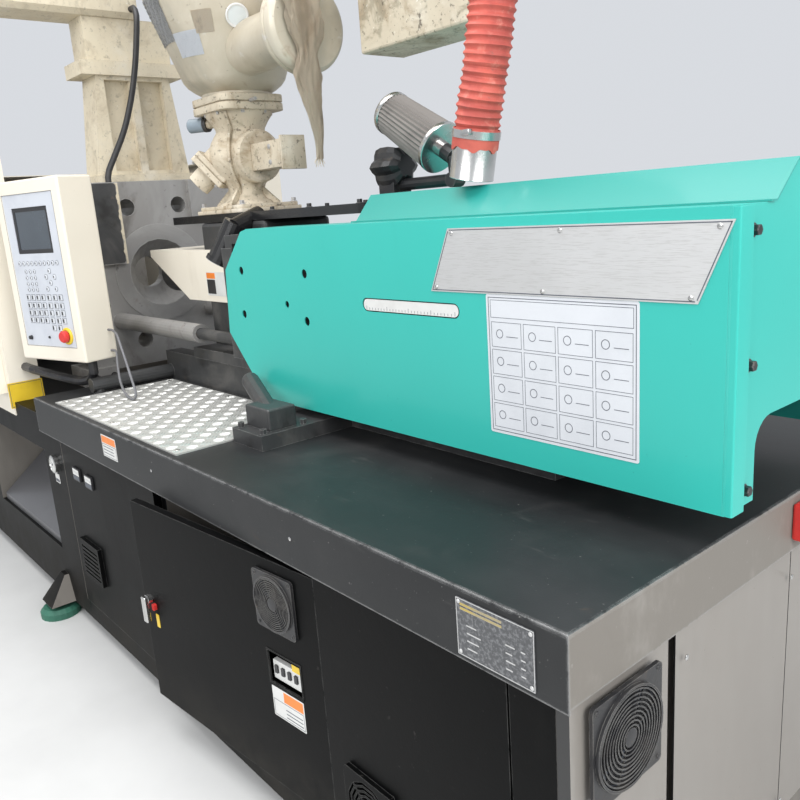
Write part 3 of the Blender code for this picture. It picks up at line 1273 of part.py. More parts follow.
def build_slide_base(root):
    """Rails on the bed, the cross tube at their front end and the foot casting on the operator's side."""
    tube_z = ON_BED + CROSS_TUBE_RADIUS + CROSS_TUBE_LIFT
    parts = [block(RAIL_LEFT, RAIL_RIGHT, RAIL_INNER, RAIL_OUTER, ON_BED, RAIL_TOP),
             block(CROSS_TUBE_X - CROSS_TUBE_RADIUS, RAIL_LEFT + END_BLOCK_LENGTH, -RAIL_OUTER, -RAIL_INNER,
                   ON_BED, RAIL_TOP),
             block(CROSS_TUBE_X - CROSS_TUBE_RADIUS, RAIL_LEFT + END_BLOCK_LENGTH, RAIL_INNER, RAIL_OUTER,
                   ON_BED, RAIL_TOP),
             rod((CROSS_TUBE_X, CROSS_TUBE_FRONT, tube_z), (CROSS_TUBE_X, RAIL_OUTER, tube_z),
                 CROSS_TUBE_RADIUS,
                 CROSS_TUBE_STEPS),
             block(RAIL_RIGHT - REAR_TIE_LENGTH, RAIL_RIGHT, -RAIL_OUTER, RAIL_OUTER, ON_BED, REAR_TIE_TOP),
             block(FOOT_CASTING_LEFT, FOOT_CASTING_RIGHT, FOOT_CASTING_FRONT, RAIL_INNER, ON_BED,
                   FOOT_CASTING_TOP),
             block(LUG_LEFT, LUG_RIGHT, LUG_FRONT, LUG_BACK, FOOT_CASTING_TOP - SINK, LUG_TOP,
                   bevel=EDGE_BEVEL),
             rod(((LUG_LEFT + LUG_RIGHT) / 2, (LUG_FRONT + LUG_BACK) / 2, LUG_TOP - LINK_RADIUS),
                 (LINK_TIP_X, LINK_TIP_Y, LINK_TIP_Z), LINK_RADIUS, SMALL_STEPS),
             rod((CROSS_TUBE_X, CROSS_TUBE_FRONT + CROSS_TUBE_RADIUS, ON_BED),
                 (CROSS_TUBE_X, CROSS_TUBE_FRONT + CROSS_TUBE_RADIUS, tube_z), CROSS_TUBE_LEG_RADIUS,
                 SMALL_STEPS)]
    for x in (FOOT_CASTING_LEFT + BOLT_INSET, FOOT_CASTING_RIGHT - BOLT_INSET):
        for y in (FOOT_CASTING_FRONT + BOLT_INSET, LUG_BACK + BOLT_INSET):
            parts.append(rod((x, y, FOOT_CASTING_TOP - SINK), (x, y, FOOT_CASTING_TOP + BOLT_HEAD),
                             BOLT_RADIUS, 6))
    first = block(RAIL_LEFT, RAIL_RIGHT, -RAIL_OUTER, -RAIL_INNER, ON_BED, RAIL_TOP)
    make("slide_base", "black_iron", root, first, add=parts)


def build_feed_housing(carriage):
    """The casting that holds the barrel and the hopper, with guide bars, pull rods and cover carriers."""
    flange_left = HOUSING_RIGHT - FLANGE_LENGTH
    parts = [block(HOUSING_LEFT, HOUSING_RIGHT, -FOOT_PLATE_HALF, FOOT_PLATE_HALF, RAIL_TOP + GAP,
                   RAIL_TOP + GAP + FOOT_PLATE_THICK),
             block(flange_left, HOUSING_RIGHT, -FLANGE_HALF, FLANGE_HALF, FLANGE_BOTTOM, FLANGE_TOP)]
    for side in (-1, 1):
        y = side * PULL_ROD_OFFSET
        parts.append(rod((PULL_ROD_LEFT, y, PULL_ROD_Z), (flange_left + SINK, y, PULL_ROD_Z),
                         PULL_ROD_RADIUS))
        y = side * GUIDE_OFFSET
        parts.append(rod((HOUSING_RIGHT - SINK, y, AXIS_Z), (GUIDE_RIGHT, y, AXIS_Z), GUIDE_RADIUS))
        low, high = sorted((side * CARRIER_INNER, side * CARRIER_OUTER))
        parts.append(block(HOUSING_RIGHT - SINK, COVER_RIGHT - SHEET - GAP, low, high, CARRIER_BOTTOM,
                           CARRIER_TOP))
        parts.append(block(HOUSING_RIGHT - CARRIER_BRACKET_LENGTH, HOUSING_RIGHT, low, high, FLANGE_TOP
                           - SINK,
                           CARRIER_TOP - SINK))
        low, high = sorted((side * (CARRIER_OUTER - SINK), side * (COVER_INNER - GAP)))
        for x in CARRIER_BRACKETS:
            parts.append(block(x - CARRIER_BRACKET_LENGTH / 2, x + CARRIER_BRACKET_LENGTH / 2, low, high,
                               CARRIER_BOTTOM, CARRIER_TOP))
    barrel_bore = rod((HOUSING_LEFT - OVERRUN, 0, AXIS_Z), (HOUSING_RIGHT + OVERRUN, 0, AXIS_Z),
                      BARREL_RADIUS + GAP)
    throat = rod((THROAT_X, 0, AXIS_Z), (THROAT_X, 0, HOUSING_TOP + OVERRUN), THROAT_RADIUS)
    body = block(HOUSING_LEFT, HOUSING_RIGHT, -HOUSING_HALF, HOUSING_HALF, RAIL_TOP + GAP, HOUSING_TOP,
                 bevel=HOUSING_BEVEL)
    make("feed_housing", "worn_steel", carriage, body, add=parts, cut=[barrel_bore, throat])


def build_barrel(carriage):
    """The barrel with its heater bands and nozzle, bored through, open at the feed throat."""
    body_start = NOZZLE_LENGTH
    profile = [(NOZZLE_BORE, 0), (NOZZLE_TIP_RADIUS, 0), (NOZZLE_RADIUS, NOZZLE_CONE),
               (NOZZLE_RADIUS, body_start)]
    place = body_start
    for _ in range(BAND_COUNT):
        profile += [(BARREL_RADIUS, place), (BARREL_RADIUS, place + BAND_GAP),
                    (BAND_RADIUS, place + BAND_GAP),
                    (BAND_RADIUS, place + BAND_GAP + BAND_LENGTH)]
        place += BAND_GAP + BAND_LENGTH
    length = HOUSING_RIGHT - NOZZLE_TIP
    profile += [(BARREL_RADIUS, place), (BARREL_RADIUS, length), (BARREL_BORE, length),
                (BARREL_BORE, body_start), (NOZZLE_BORE, body_start - NOZZLE_CONE)]
    profile = [point for i, point in enumerate(profile) if i == 0 or point != profile[i - 1]]
    throat = rod((THROAT_X, 0, AXIS_Z), (THROAT_X, 0, AXIS_Z + BARREL_RADIUS + OVERRUN), BARREL_PORT_RADIUS)
    make("barrel", "bright_steel", carriage, turned(profile, (NOZZLE_TIP, 0, AXIS_Z), AXES["x"]),
         cut=[throat], at=(NOZZLE_TIP, 0, AXIS_Z))


def build_screw(spin):
    """The screw: a tip, a root wound with one helical flight, and the shaft into its drive."""
    shaft_end = HEAD_LEFT + HEAD_SOCKET - GAP
    length = shaft_end - SCREW_LEFT
    flight_length = FLIGHT_PITCH * FLIGHT_TURNS
    profile = [(0, 0), (ROOT_RADIUS, SCREW_TIP), (ROOT_RADIUS, FLIGHT_START + flight_length + FLIGHT_PITCH),
               (SHAFT_RADIUS, FLIGHT_START + flight_length + FLIGHT_PITCH), (SHAFT_RADIUS, length),
               (0, length)]
    rings = []
    count = FLIGHT_TURNS * FLIGHT_STEPS
    for i in range(count + 1):
        angle = FULL_TURN * i / FLIGHT_STEPS
        x = SCREW_LEFT + FLIGHT_START + FLIGHT_PITCH * i / FLIGHT_STEPS
        ring = []
        for radius, shift in ((ROOT_RADIUS - SINK, -FLIGHT_WIDTH / 2), (FLIGHT_RADIUS, -FLIGHT_WIDTH / 4),
                              (FLIGHT_RADIUS, FLIGHT_WIDTH / 4), (ROOT_RADIUS - SINK, FLIGHT_WIDTH / 2)):
            ring.append((x + shift, radius * math.cos(angle), AXIS_Z + radius * math.sin(angle)))
        rings.append(ring)
    make("screw", "bright_steel", spin, turned(profile, (SCREW_LEFT, 0, AXIS_Z), AXES["x"], SMALL_STEPS),
         add=[lofted(rings)], at=(SCREW_LEFT, 0, AXIS_Z))


def build_injection_head(carriage):
    """The crosshead on the guide bars that turns and pushes the screw, with its motor."""
    right = HEAD_LEFT + HEAD_THICK
    body = block(HEAD_LEFT, right, -FLANGE_HALF, FLANGE_HALF, HEAD_BOTTOM, HEAD_TOP, bevel=HOUSING_BEVEL)
    motor_profile = [(0, -SINK), (MOTOR_FLANGE, -SINK), (MOTOR_FLANGE, MOTOR_FLANGE_THICK),
                     (MOTOR_RADIUS, MOTOR_FLANGE_THICK), (MOTOR_RADIUS, MOTOR_LENGTH),
                     (MOTOR_CAP_RADIUS, MOTOR_LENGTH), (MOTOR_CAP_RADIUS, MOTOR_LENGTH + MOTOR_CAP_LENGTH),
                     (0, MOTOR_LENGTH + MOTOR_CAP_LENGTH)]
    motor = turned(motor_profile, (right, 0, AXIS_Z), AXES["x"])
    port_x = right + MOTOR_LENGTH + MOTOR_CAP_LENGTH / 2
    port = block(port_x - PORT_HALF_LENGTH, port_x + PORT_HALF_LENGTH, -PORT_HALF, PORT_HALF, AXIS_Z,
                 AXIS_Z + MOTOR_CAP_RADIUS + PORT_HEIGHT)
    bores = [rod((HEAD_LEFT - OVERRUN, side * GUIDE_OFFSET, AXIS_Z),
                 (right + OVERRUN, side * GUIDE_OFFSET, AXIS_Z),
                 GUIDE_RADIUS + TIE_CLEAR) for side in (-1, 1)]
    socket = rod((HEAD_LEFT - OVERRUN, 0, AXIS_Z), (HEAD_LEFT + HEAD_SOCKET, 0, AXIS_Z), SHAFT_RADIUS
                 + SHAFT_CLEAR)
    make("injection_head", "worn_steel", carriage, body, add=[motor, port], cut=[*bores, socket],
         at=(HEAD_LEFT, 0, AXIS_Z))


def build_purge_guard(carriage):
    """The folded hood over the nozzle, its sides sloped back under the hot end."""
    inner = HOUSING_HALF + GAP
    outer = inner + PURGE_WALL
    side = [(PURGE_LEFT, PURGE_TOP), (PURGE_LEFT, PURGE_TOP - PURGE_LIP), (PURGE_LEFT_BOTTOM, PURGE_BOTTOM),
            (PURGE_RIGHT, PURGE_BOTTOM), (PURGE_RIGHT, PURGE_TOP)]
    hollow = block(PURGE_LEFT - OVERRUN, PURGE_RIGHT + OVERRUN, -inner, inner, PURGE_BOTTOM - OVERRUN,
                   PURGE_TOP - PURGE_WALL)
    over_housing = block(HOUSING_LEFT - SEAM, PURGE_RIGHT + OVERRUN, -inner, inner, PURGE_BOTTOM,
                         PURGE_TOP + OVERRUN)
    make("purge_guard", "cream_paint", carriage, prism(side, "y", -outer, outer), cut=[hollow, over_housing])


def cover_sheet(name, side, holes, carriage):
    """One long side cover: a face of the cut outline, a ledge along its top and a return at its end."""
    outline = [(COVER_RIGHT, COVER_BOTTOM), *COVER_OUTLINE, (COVER_RIGHT, COVER_TOP)]
    outline[1] = (COVER_OUTLINE[0][0], COVER_BOTTOM)
    low, high = sorted((side * COVER_INNER, side * COVER_HALF))
    face = prism(outline, "y", low, high, holes)
    ledge_left = COVER_OUTLINE[-1][0]
    low, high = sorted((side * LEDGE_INNER, side * (COVER_HALF - SHEET / 2)))
    ledge = block(ledge_left, COVER_RIGHT, low, high, COVER_TOP - SHEET, COVER_TOP)
    low, high = sorted((side * (COVER_HALF - RETURN_WIDTH), side * (COVER_HALF - SHEET / 2)))
    back = block(COVER_RIGHT - SHEET, COVER_RIGHT, low, high, COVER_BOTTOM, COVER_TOP - SHEET / 2)
    make(name, "teal_paint", carriage, face, add=[ledge, back])


def round_slot(left, right, middle, height):
    """An outline of a long slot with round ends."""
    radius = height / 2
    quarter = HALF_TURN / 2
    return (circle((right - radius, middle), radius, 8, -quarter, HALF_TURN, closed=False)
            + circle((left + radius, middle), radius, 8, quarter, HALF_TURN, closed=False))


def build_covers(carriage):
    """The four painted covers of the injection unit."""
    holes = [circle(place, COVER_HOLE_RADIUS, SMALL_STEPS) for place in COVER_HOLES]
    holes.append(circle(SMALL_HOLE, SMALL_HOLE_RADIUS, SMALL_STEPS))
    front_holes = [*holes, round_slot(SCALE_LEFT, SCALE_RIGHT, SCALE_Z, SCALE_HEIGHT)]
    cover_sheet("cover_front", -1, front_holes, carriage)
    cover_sheet("cover_rear", 1, holes, carriage)

    seat = COVER_TOP + GAP
    line = [(ROOF_FOOT_INNER, seat), (ROOF_FOOT, seat), (ROOF_RIDGE, ROOF_TOP), (-ROOF_RIDGE, ROOF_TOP),
            (-ROOF_FOOT, seat), (-ROOF_FOOT_INNER, seat)]
    high_line = [(y, z if abs(y) < ROOF_FOOT else z + SHEET) for y, z in line]
    roof = prism(sheet_outline(high_line, SHEET), "x", ROOF_LEFT_HIGH, COVER_RIGHT)
    slope = (ROOF_LEFT_LOW - ROOF_LEFT_HIGH) / (ROOF_TOP - COVER_TOP)
    trim = prism([(ROOF_LEFT_HIGH - OVERRUN, COVER_TOP - SHEET),
                  (ROOF_LEFT_LOW + slope * SHEET, COVER_TOP - SHEET),
                  (ROOF_LEFT_HIGH - slope * SHEET, ROOF_TOP + SHEET),
                  (ROOF_LEFT_HIGH - OVERRUN, ROOF_TOP + SHEET)], "y", -ROOF_FOOT_INNER - OVERRUN,
                 ROOF_FOOT_INNER + OVERRUN)
    make("cover_roof", "teal_paint", carriage, roof, cut=[trim])

    quarter = HALF_TURN / 2
    corner_z = ARCH_TOP - ARCH_RADIUS
    corner_y = ARCH_HALF - ARCH_RADIUS
    arch = ([(-ARCH_HALF, COVER_BOTTOM)]
            + circle((-corner_y, corner_z), ARCH_RADIUS, 6, HALF_TURN, -quarter, closed=False)
            + circle((corner_y, corner_z), ARCH_RADIUS, 6, quarter, -quarter, closed=False)
            + [(ARCH_HALF, COVER_BOTTOM)])
    outline = arch + [(COVER_HALF, COVER_BOTTOM), (COVER_HALF, COVER_TOP), (ROOF_FOOT, COVER_TOP),
                      (ROOF_RIDGE, ROOF_TOP), (-ROOF_RIDGE, ROOF_TOP), (-ROOF_FOOT, COVER_TOP),
                      (-COVER_HALF, COVER_TOP), (-COVER_HALF, COVER_BOTTOM)]
    bolts = [rod((END_COVER_RIGHT - SINK / 2, side * (COVER_HALF - COVER_BOLT_IN), z),
                 (END_COVER_RIGHT + COVER_BOLT_HEAD, side * (COVER_HALF - COVER_BOLT_IN), z),
                 COVER_BOLT_RADIUS, 6)
             for side in (-1, 1) for z in COVER_BOLT_HEIGHTS]
    make("cover_end", "teal_paint", carriage, prism(outline, "x", END_COVER_LEFT, END_COVER_RIGHT), add=bolts)


# Hopper dryer

def build_hopper_slide(carriage):
    """The slide plate over the feed throat, with the drain pipe at the hopper's second place."""
    drain_x = THROAT_X + HOPPER_STROKE
    plate = prism(rectangle(SLIDE_LEFT, SLIDE_RIGHT, -SLIDE_HALF, SLIDE_HALF, SLIDE_THICK / 2), "z",
                  SLIDE_BOTTOM, SLIDE_TOP, [circle((THROAT_X, 0), THROAT_RADIUS)])
    top, bottom = Vector(DRAIN_TOP), Vector(DRAIN_BOTTOM)
    along = (bottom - top).normalized()
    neck_top = Vector((drain_x, -SLIDE_HALF + DRAIN_NECK_IN, SLIDE_BOTTOM + SLIDE_THICK / 2))
    pipe = [rod(top, bottom, DRAIN_RADIUS),
            rod(bottom - along * DRAIN_LIP_LENGTH, bottom, DRAIN_LIP),
            rod(neck_top, top + along * DRAIN_RADIUS / 2, DRAIN_NECK_RADIUS)]
    bore = rod(top + along * DRAIN_RADIUS, bottom + along * OVERRUN, DRAIN_RADIUS - DRAIN_WALL)
    under = block(HOUSING_LEFT - OVERRUN, HOUSING_RIGHT + FLANGE_LENGTH, -HOUSING_HALF - GAP, HOUSING_HALF,
                  HOUSING_TOP - OVERRUN, SLIDE_BOTTOM)
    item = make("hopper_slide", "black_iron", carriage, plate, add=pipe, cut=[bore])
    add_boolean(item, "hopper_slide_under", [under], "DIFFERENCE", (0, 0, 0), carriage)


def build_valve(hopper):
    """The cast valve under the hopper, with its angled outlet and its flanges."""
    seat = SLIDE_TOP + GAP
    foot_top = seat + VALVE_FOOT_THICK
    place = (THROAT_X, 0, 0)
    profile = [(0, foot_top - SINK), (VALVE_PROFILE[0][0], foot_top - SINK), *VALVE_PROFILE,
               (0, VALVE_PROFILE[-1][1])]
    body = turned(profile, place, AXES["z"])
    foot = prism(rectangle(THROAT_X - VALVE_FOOT_HALF, THROAT_X + VALVE_FOOT_HALF, -SLIDE_HALF, SLIDE_HALF,
                           VALVE_FOOT_THICK / 2), "z", seat, foot_top)
    head = prism(rectangle(THROAT_X - VALVE_HEAD_HALF, THROAT_X + VALVE_HEAD_HALF, -VALVE_HEAD_HALF,
                           VALVE_HEAD_HALF, HEAD_CORNER), "z", VALVE_HEAD_BOTTOM, VALVE_HEAD_TOP)
    start, end = Vector(OUTLET_START), Vector(OUTLET_END)
    along = (end - start).normalized()
    plate = rod(end, end + along * OUTLET_PLATE_THICK, OUTLET_PLATE, 4)
    stub = rod(end, end + along * (OUTLET_PLATE_THICK + OUTLET_STUB_LENGTH), OUTLET_STUB)
    stub_bore = rod(end + along * OUTLET_PLATE_THICK / 2, end
                    + along * (OUTLET_PLATE_THICK + OUTLET_STUB_LENGTH
                                                                       + OVERRUN), OUTLET_STUB - DRAIN_WALL)
    drum = rod((THROAT_X, 0, VALVE_DRUM_Z), (THROAT_X + VALVE_DRUM_OUT, 0, VALVE_DRUM_Z), VALVE_DRUM_RADIUS)
    side_end = THROAT_X + SIDE_BLOCK_OUT
    side = block(THROAT_X, side_end, -SIDE_BLOCK_HALF, SIDE_BLOCK_HALF, SIDE_BLOCK_BOTTOM, SIDE_BLOCK_TOP)
    side_plate = block(side_end - SINK, side_end + SIDE_PLATE_THICK, -SIDE_BLOCK_HALF - SIDE_PLATE_LIP,
                       SIDE_BLOCK_HALF + SIDE_PLATE_LIP, SIDE_BLOCK_BOTTOM - SIDE_PLATE_LIP,
                       SIDE_BLOCK_TOP + SIDE_PLATE_LIP)
    knob = rod((THROAT_X - VALVE_HEAD_HALF / 2, VALVE_KNOB_TIP[1] / 2, VALVE_KNOB_TIP[2]), VALVE_KNOB_TIP,
               VALVE_KNOB_RADIUS, SMALL_STEPS)
    bore = rod((THROAT_X, 0, seat - OVERRUN), (THROAT_X, 0, VALVE_HEAD_TOP + OVERRUN), VALVE_BORE)
    make("hopper_valve", "aged_cream", hopper, body,
         add=[foot, head, rod(start, end + along * SINK, OUTLET_RADIUS), plate, stub, drum, side,
              side_plate, knob],
         cut=[bore, stub_bore], at=(THROAT_X, 0, seat))


def build_hopper_body(hopper):
    """The dryer's cone and drum with its lid, side duct, hose outlet and the pad for its control box."""
    seat = VALVE_HEAD_TOP + GAP
    place = (THROAT_X, 0, 0)
    profile = [(0, seat), (HOPPER_NECK, seat), (HOPPER_NECK, HOPPER_NECK_TOP),
               (HOPPER_CONE_BOTTOM, HOPPER_CONE_FOOT),
               (HOPPER_RADIUS, HOPPER_SHOULDER), (HOPPER_RADIUS, HOPPER_EAVES),
               (HOPPER_RADIUS + HOPPER_RIM, HOPPER_EAVES),
               (HOPPER_RADIUS + HOPPER_RIM, HOPPER_EAVES + HOPPER_RIM),
               (HOPPER_LID, HOPPER_EAVES + HOPPER_RIM * 2), (HOPPER_CROWN_RADIUS, HOPPER_CROWN),
               (0, HOPPER_CROWN)]
    body = turned(profile, place, AXES["z"], HOPPER_STEPS)
    duct = rod((DUCT_START_X, DUCT_Y, DUCT_Z), (DUCT_HEAD_LEFT + SINK, DUCT_Y, DUCT_Z), DUCT_RADIUS)
    head_length = DUCT_HEAD_RIGHT - DUCT_HEAD_LEFT
    head = turned([(0, 0), (DUCT_HEAD_RADIUS, 0), (DUCT_HEAD_RADIUS, head_length - DUCT_HEAD_ROUND),
                   (DUCT_HEAD_RADIUS - DUCT_HEAD_ROUND, head_length), (0, head_length)],
                  (DUCT_HEAD_LEFT, DUCT_Y, DUCT_Z), AXES["x"])
    outlet = rod((THROAT_X + HOPPER_RADIUS / 2, 0, HOSE_OUTLET_Z), (HOSE_OUTLET_X, 0, HOSE_OUTLET_Z),
                 HOSE_OUTLET_RADIUS)
    pad = block(THROAT_X + HOPPER_RADIUS / 2, BOX_PAD_X, BOX_PAD_Y - BOX_PAD_HALF, BOX_PAD_Y + BOX_PAD_HALF,
                BOX_PAD_BOTTOM, BOX_PAD_TOP)
    make("hopper_body", "aged_cream", hopper, body, add=[duct, head, outlet, pad], at=(THROAT_X, 0, seat))


def build_control_box(hopper):
    """The dryer's control box on its arm from the drum."""
    body = block(BOX_LEFT, BOX_RIGHT, BOX_FRONT, BOX_FRONT + BOX_DEPTH, BOX_BOTTOM, BOX_TOP, bevel=BOX_BEVEL)
    arm = block(BOX_PAD_X + GAP, BOX_LEFT + SINK, BOX_PAD_Y - BOX_PAD_HALF, BOX_PAD_Y + BOX_PAD_HALF,
                BOX_PAD_BOTTOM, BOX_PAD_TOP)
    make("control_box", "aged_cream", hopper, body, add=[arm], at=(BOX_LEFT, BOX_FRONT, BOX_BOTTOM))


def build_filter_bag(hopper):
    """The cloth bag that hangs from the duct's mouth, drawn in to a tail."""
    x = DUCT_HEAD_RIGHT + GAP
    rings = []
    for i in range(BAG_STEPS + 1):
        share = i / BAG_STEPS
        z = BAG_TOP + (BAG_TAIL - BAG_TOP) * share
        width = BAG_TAIL_RADIUS + (BAG_WIDTH - BAG_TAIL_RADIUS) * math.cos(share * HALF_TURN / 2) ** BAG_TAPER
        depth = BAG_TAIL_RADIUS + (BAG_THICK - BAG_TAIL_RADIUS) * math.cos(share * HALF_TURN / 2)
        sag = BAG_Y + BAG_LEAN * share
        rings.append([(x + depth + depth * math.cos(a), sag + width * math.sin(a), z)
                      for a in (FULL_TURN * k / SMALL_STEPS for k in range(SMALL_STEPS))])
    make("filter_bag", "cloth", hopper, lofted(rings), at=(x, BAG_Y, BAG_TOP))


def build_blower(carriage):
    """The lobed blower on the slide plate and the pleated air filter on its elbow."""
    seat = SLIDE_TOP + GAP
    rings = []
    steps = BLOWER_LOBES * 4
    for place_share, size_share in BLOWER_RING_SHARES:
        ring = []
        for k in range(steps):
            angle = FULL_TURN * k / steps
            radius = (BLOWER_RADIUS + BLOWER_LOBE_DEPTH * math.cos(angle * BLOWER_LOBES)) * size_share
            ring.append((BLOWER_X + BLOWER_HALF_LENGTH * place_share, BLOWER_Y + radius * math.cos(angle),
                         BLOWER_Z + radius * math.sin(angle)))
        rings.append(ring)
    elbow = Vector(BLOWER_ELBOW)
    cap, base = Vector(FILTER_CAP), Vector(FILTER_BASE)
    along = (base - cap).normalized()
    mouth = base + along * FILTER_STUB_RADIUS
    foot = block(BLOWER_X - BLOWER_FOOT_HALF, BLOWER_X + BLOWER_FOOT_HALF, BLOWER_Y - BLOWER_FOOT_HALF,
                 BLOWER_Y + BLOWER_FOOT_HALF, seat, BLOWER_Z)
    arm = rod((BLOWER_X, BLOWER_Y, elbow.z), elbow, BLOWER_ARM_RADIUS, SMALL_STEPS)
    reach = AXES["y"] * BLOWER_KNEE_RADIUS
    knee = rod(elbow - reach, elbow + reach, BLOWER_KNEE_RADIUS, SMALL_STEPS)
    collar_end = mouth + along * BLOWER_COLLAR
    riser = rod(elbow, collar_end, BLOWER_ARM_RADIUS, SMALL_STEPS)
    collar = rod(mouth + along * GAP, collar_end, FILTER_STUB_RADIUS, SMALL_STEPS)
    make("dryer_blower", "black_iron", carriage, lofted(rings), add=[foot, arm, knee, riser, collar],
         at=(BLOWER_X, BLOWER_Y, seat))

    across = Vector((0, 1, 0))
    other = along.cross(across)
    pleats = FILTER_PLEATS * 2

    def pleat_ring(centre, radius, depth):
        return [centre + across * (radius - depth * (k % 2)) * math.cos(FULL_TURN * k / pleats)
                + other * (radius - depth * (k % 2)) * math.sin(FULL_TURN * k / pleats)
                for k in range(pleats)]

    body = lofted([pleat_ring(cap, FILTER_CAP_RADIUS, FILTER_PLEAT_DEPTH),
                   pleat_ring(base, FILTER_BASE_RADIUS, FILTER_PLEAT_DEPTH)])
    cap_rim = rod(cap - along * FILTER_RIM_LENGTH / 2, cap + along * FILTER_RIM_LENGTH / 2,
                  FILTER_CAP_RADIUS + FILTER_RIM)
    base_rim = rod(base - along * FILTER_RIM_LENGTH / 2, base + along * FILTER_RIM_LENGTH / 2,
                   FILTER_BASE_RADIUS + FILTER_RIM)
    stub = rod(base, mouth, FILTER_STUB_RADIUS)
    make("air_filter", "filter_grey", carriage, body, add=[cap_rim, base_rim, stub], at=tuple(base))


# Robot

def build_robot(root):
    """The pedestal on the fixed platen, the beam, the carriage with its cross beam and the drop arm."""
    seat = PLATEN_TOP + GAP
    back = PEDESTAL_FRONT - PEDESTAL_DEEP
    plate_top = seat + PEDESTAL_PLATE
    body_top = plate_top + PEDESTAL_HIGH

    def ring(half, inset, z):
        return [(back + inset, -half, z), (PEDESTAL_FRONT - inset, -half, z),
                (PEDESTAL_FRONT - inset, half, z), (back + inset, half, z)]

    wide, narrow = PEDESTAL_HALF - PEDESTAL_MARGIN, PEDESTAL_NARROW_HALF
    body = lofted([ring(wide, PEDESTAL_MARGIN, plate_top - SINK),
                   ring(narrow, PEDESTAL_MARGIN, body_top + SINK)])
    parts = [block(back, PEDESTAL_FRONT, -PEDESTAL_HALF, PEDESTAL_HALF, seat, plate_top),
             block(back, PEDESTAL_FRONT, -PEDESTAL_HALF, PEDESTAL_HALF, body_top, body_top
                   + PEDESTAL_PLATE * 2),
             block(back + COLUMN_INSET, PEDESTAL_FRONT - COLUMN_INSET, -COLUMN_HALF, COLUMN_HALF,
                   body_top + PEDESTAL_PLATE, BEAM_BOTTOM - GAP)]
    recesses = []
    for low_half, low_y, high_y in ((-1, -narrow + PEDESTAL_RIB, -PEDESTAL_RIB / 2),
                                    (1, PEDESTAL_RIB / 2, narrow - PEDESTAL_RIB)):
        recesses.append(block(PEDESTAL_FRONT - PEDESTAL_MARGIN - PEDESTAL_RECESS, PEDESTAL_FRONT + OVERRUN,
                              low_y, high_y, plate_top + PEDESTAL_MARGIN, body_top - PEDESTAL_MARGIN))
    pedestal = make("robot_pedestal", "cream_paint", root, body, cut=recesses, at=(0, 0, seat))
    add_boolean(pedestal, "robot_pedestal_plates", parts, "UNION", (0, 0, seat), root)

    beam_back = BEAM_FRONT - BEAM_DEEP
    beam_top = BEAM_BOTTOM + BEAM_HIGH
    outline = rectangle(beam_back, BEAM_FRONT, BEAM_BOTTOM, beam_top, BEAM_CHAMFER)
    make("robot_beam", "cream_paint", root, prism(outline, "y", BEAM_RIGHT_END - BEAM_LENGTH, BEAM_RIGHT_END),
         at=(BEAM_FRONT, BEAM_RIGHT_END, BEAM_BOTTOM))

    seat = beam_top + GAP
    plate = block(beam_back - CARRIAGE_OVERHANG, BEAM_FRONT + CARRIAGE_OVERHANG, CARRIAGE_Y - CARRIAGE_HALF,
                  CARRIAGE_Y + CARRIAGE_HALF, seat, seat + CARRIAGE_THICK, bevel=EDGE_BEVEL)
    cross_low = seat + CARRIAGE_THICK - SINK
    cross = block(ARM_X - ARM_HEAD_HALF, BEAM_FRONT + CARRIAGE_OVERHANG, CARRIAGE_Y - CROSS_BEAM_HALF,
                  CARRIAGE_Y + CROSS_BEAM_HALF, cross_low, cross_low + CROSS_BEAM_HIGH)
    head = block(ARM_X - ARM_HEAD_HALF, ARM_X + ARM_HEAD_HALF, CARRIAGE_Y - ARM_HEAD_HALF_Y,
                 CARRIAGE_Y + ARM_HEAD_HALF_Y, ARM_HEAD_BOTTOM, ARM_HEAD_TOP, bevel=EDGE_BEVEL)
    guide = block(ARM_X - ARM_BAR_HALF_X - GAP, ARM_X + ARM_BAR_HALF_X + GAP, CARRIAGE_Y - ARM_BAR_HALF_Y
                  - GAP,
                  CARRIAGE_Y + ARM_BAR_HALF_Y + GAP, ARM_HEAD_BOTTOM - OVERRUN, ARM_HEAD_TOP + OVERRUN)
    place = (ARM_X, CARRIAGE_Y, seat)
    make("robot_carriage", "cream_paint", root, plate, add=[cross, head], cut=[guide], at=place)

    bar = block(ARM_X - ARM_BAR_HALF_X, ARM_X + ARM_BAR_HALF_X, CARRIAGE_Y - ARM_BAR_HALF_Y,
                CARRIAGE_Y + ARM_BAR_HALF_Y, ARM_BAR_BOTTOM, ARM_BAR_TOP)
    grip_top = ARM_BAR_BOTTOM + SINK
    grip = block(ARM_X - GRIP_HALF, ARM_X + GRIP_HALF, CARRIAGE_Y - GRIP_HALF, CARRIAGE_Y + GRIP_HALF,
                 grip_top - GRIP_THICK, grip_top)
    cup_top = grip_top - GRIP_THICK + SINK
    cups = [rod((ARM_X + x, CARRIAGE_Y + y, cup_top - CUP_HEIGHT), (ARM_X + x, CARRIAGE_Y + y, cup_top),
                CUP_RADIUS, SMALL_STEPS, end_radius=CUP_RADIUS / 2)
            for x in (-CUP_OFFSET, CUP_OFFSET) for y in (-CUP_OFFSET, CUP_OFFSET)]
    make("robot_arm", "bright_steel", root, bar, add=[grip, *cups], at=(ARM_X, CARRIAGE_Y, ARM_BAR_BOTTOM))


# Cords

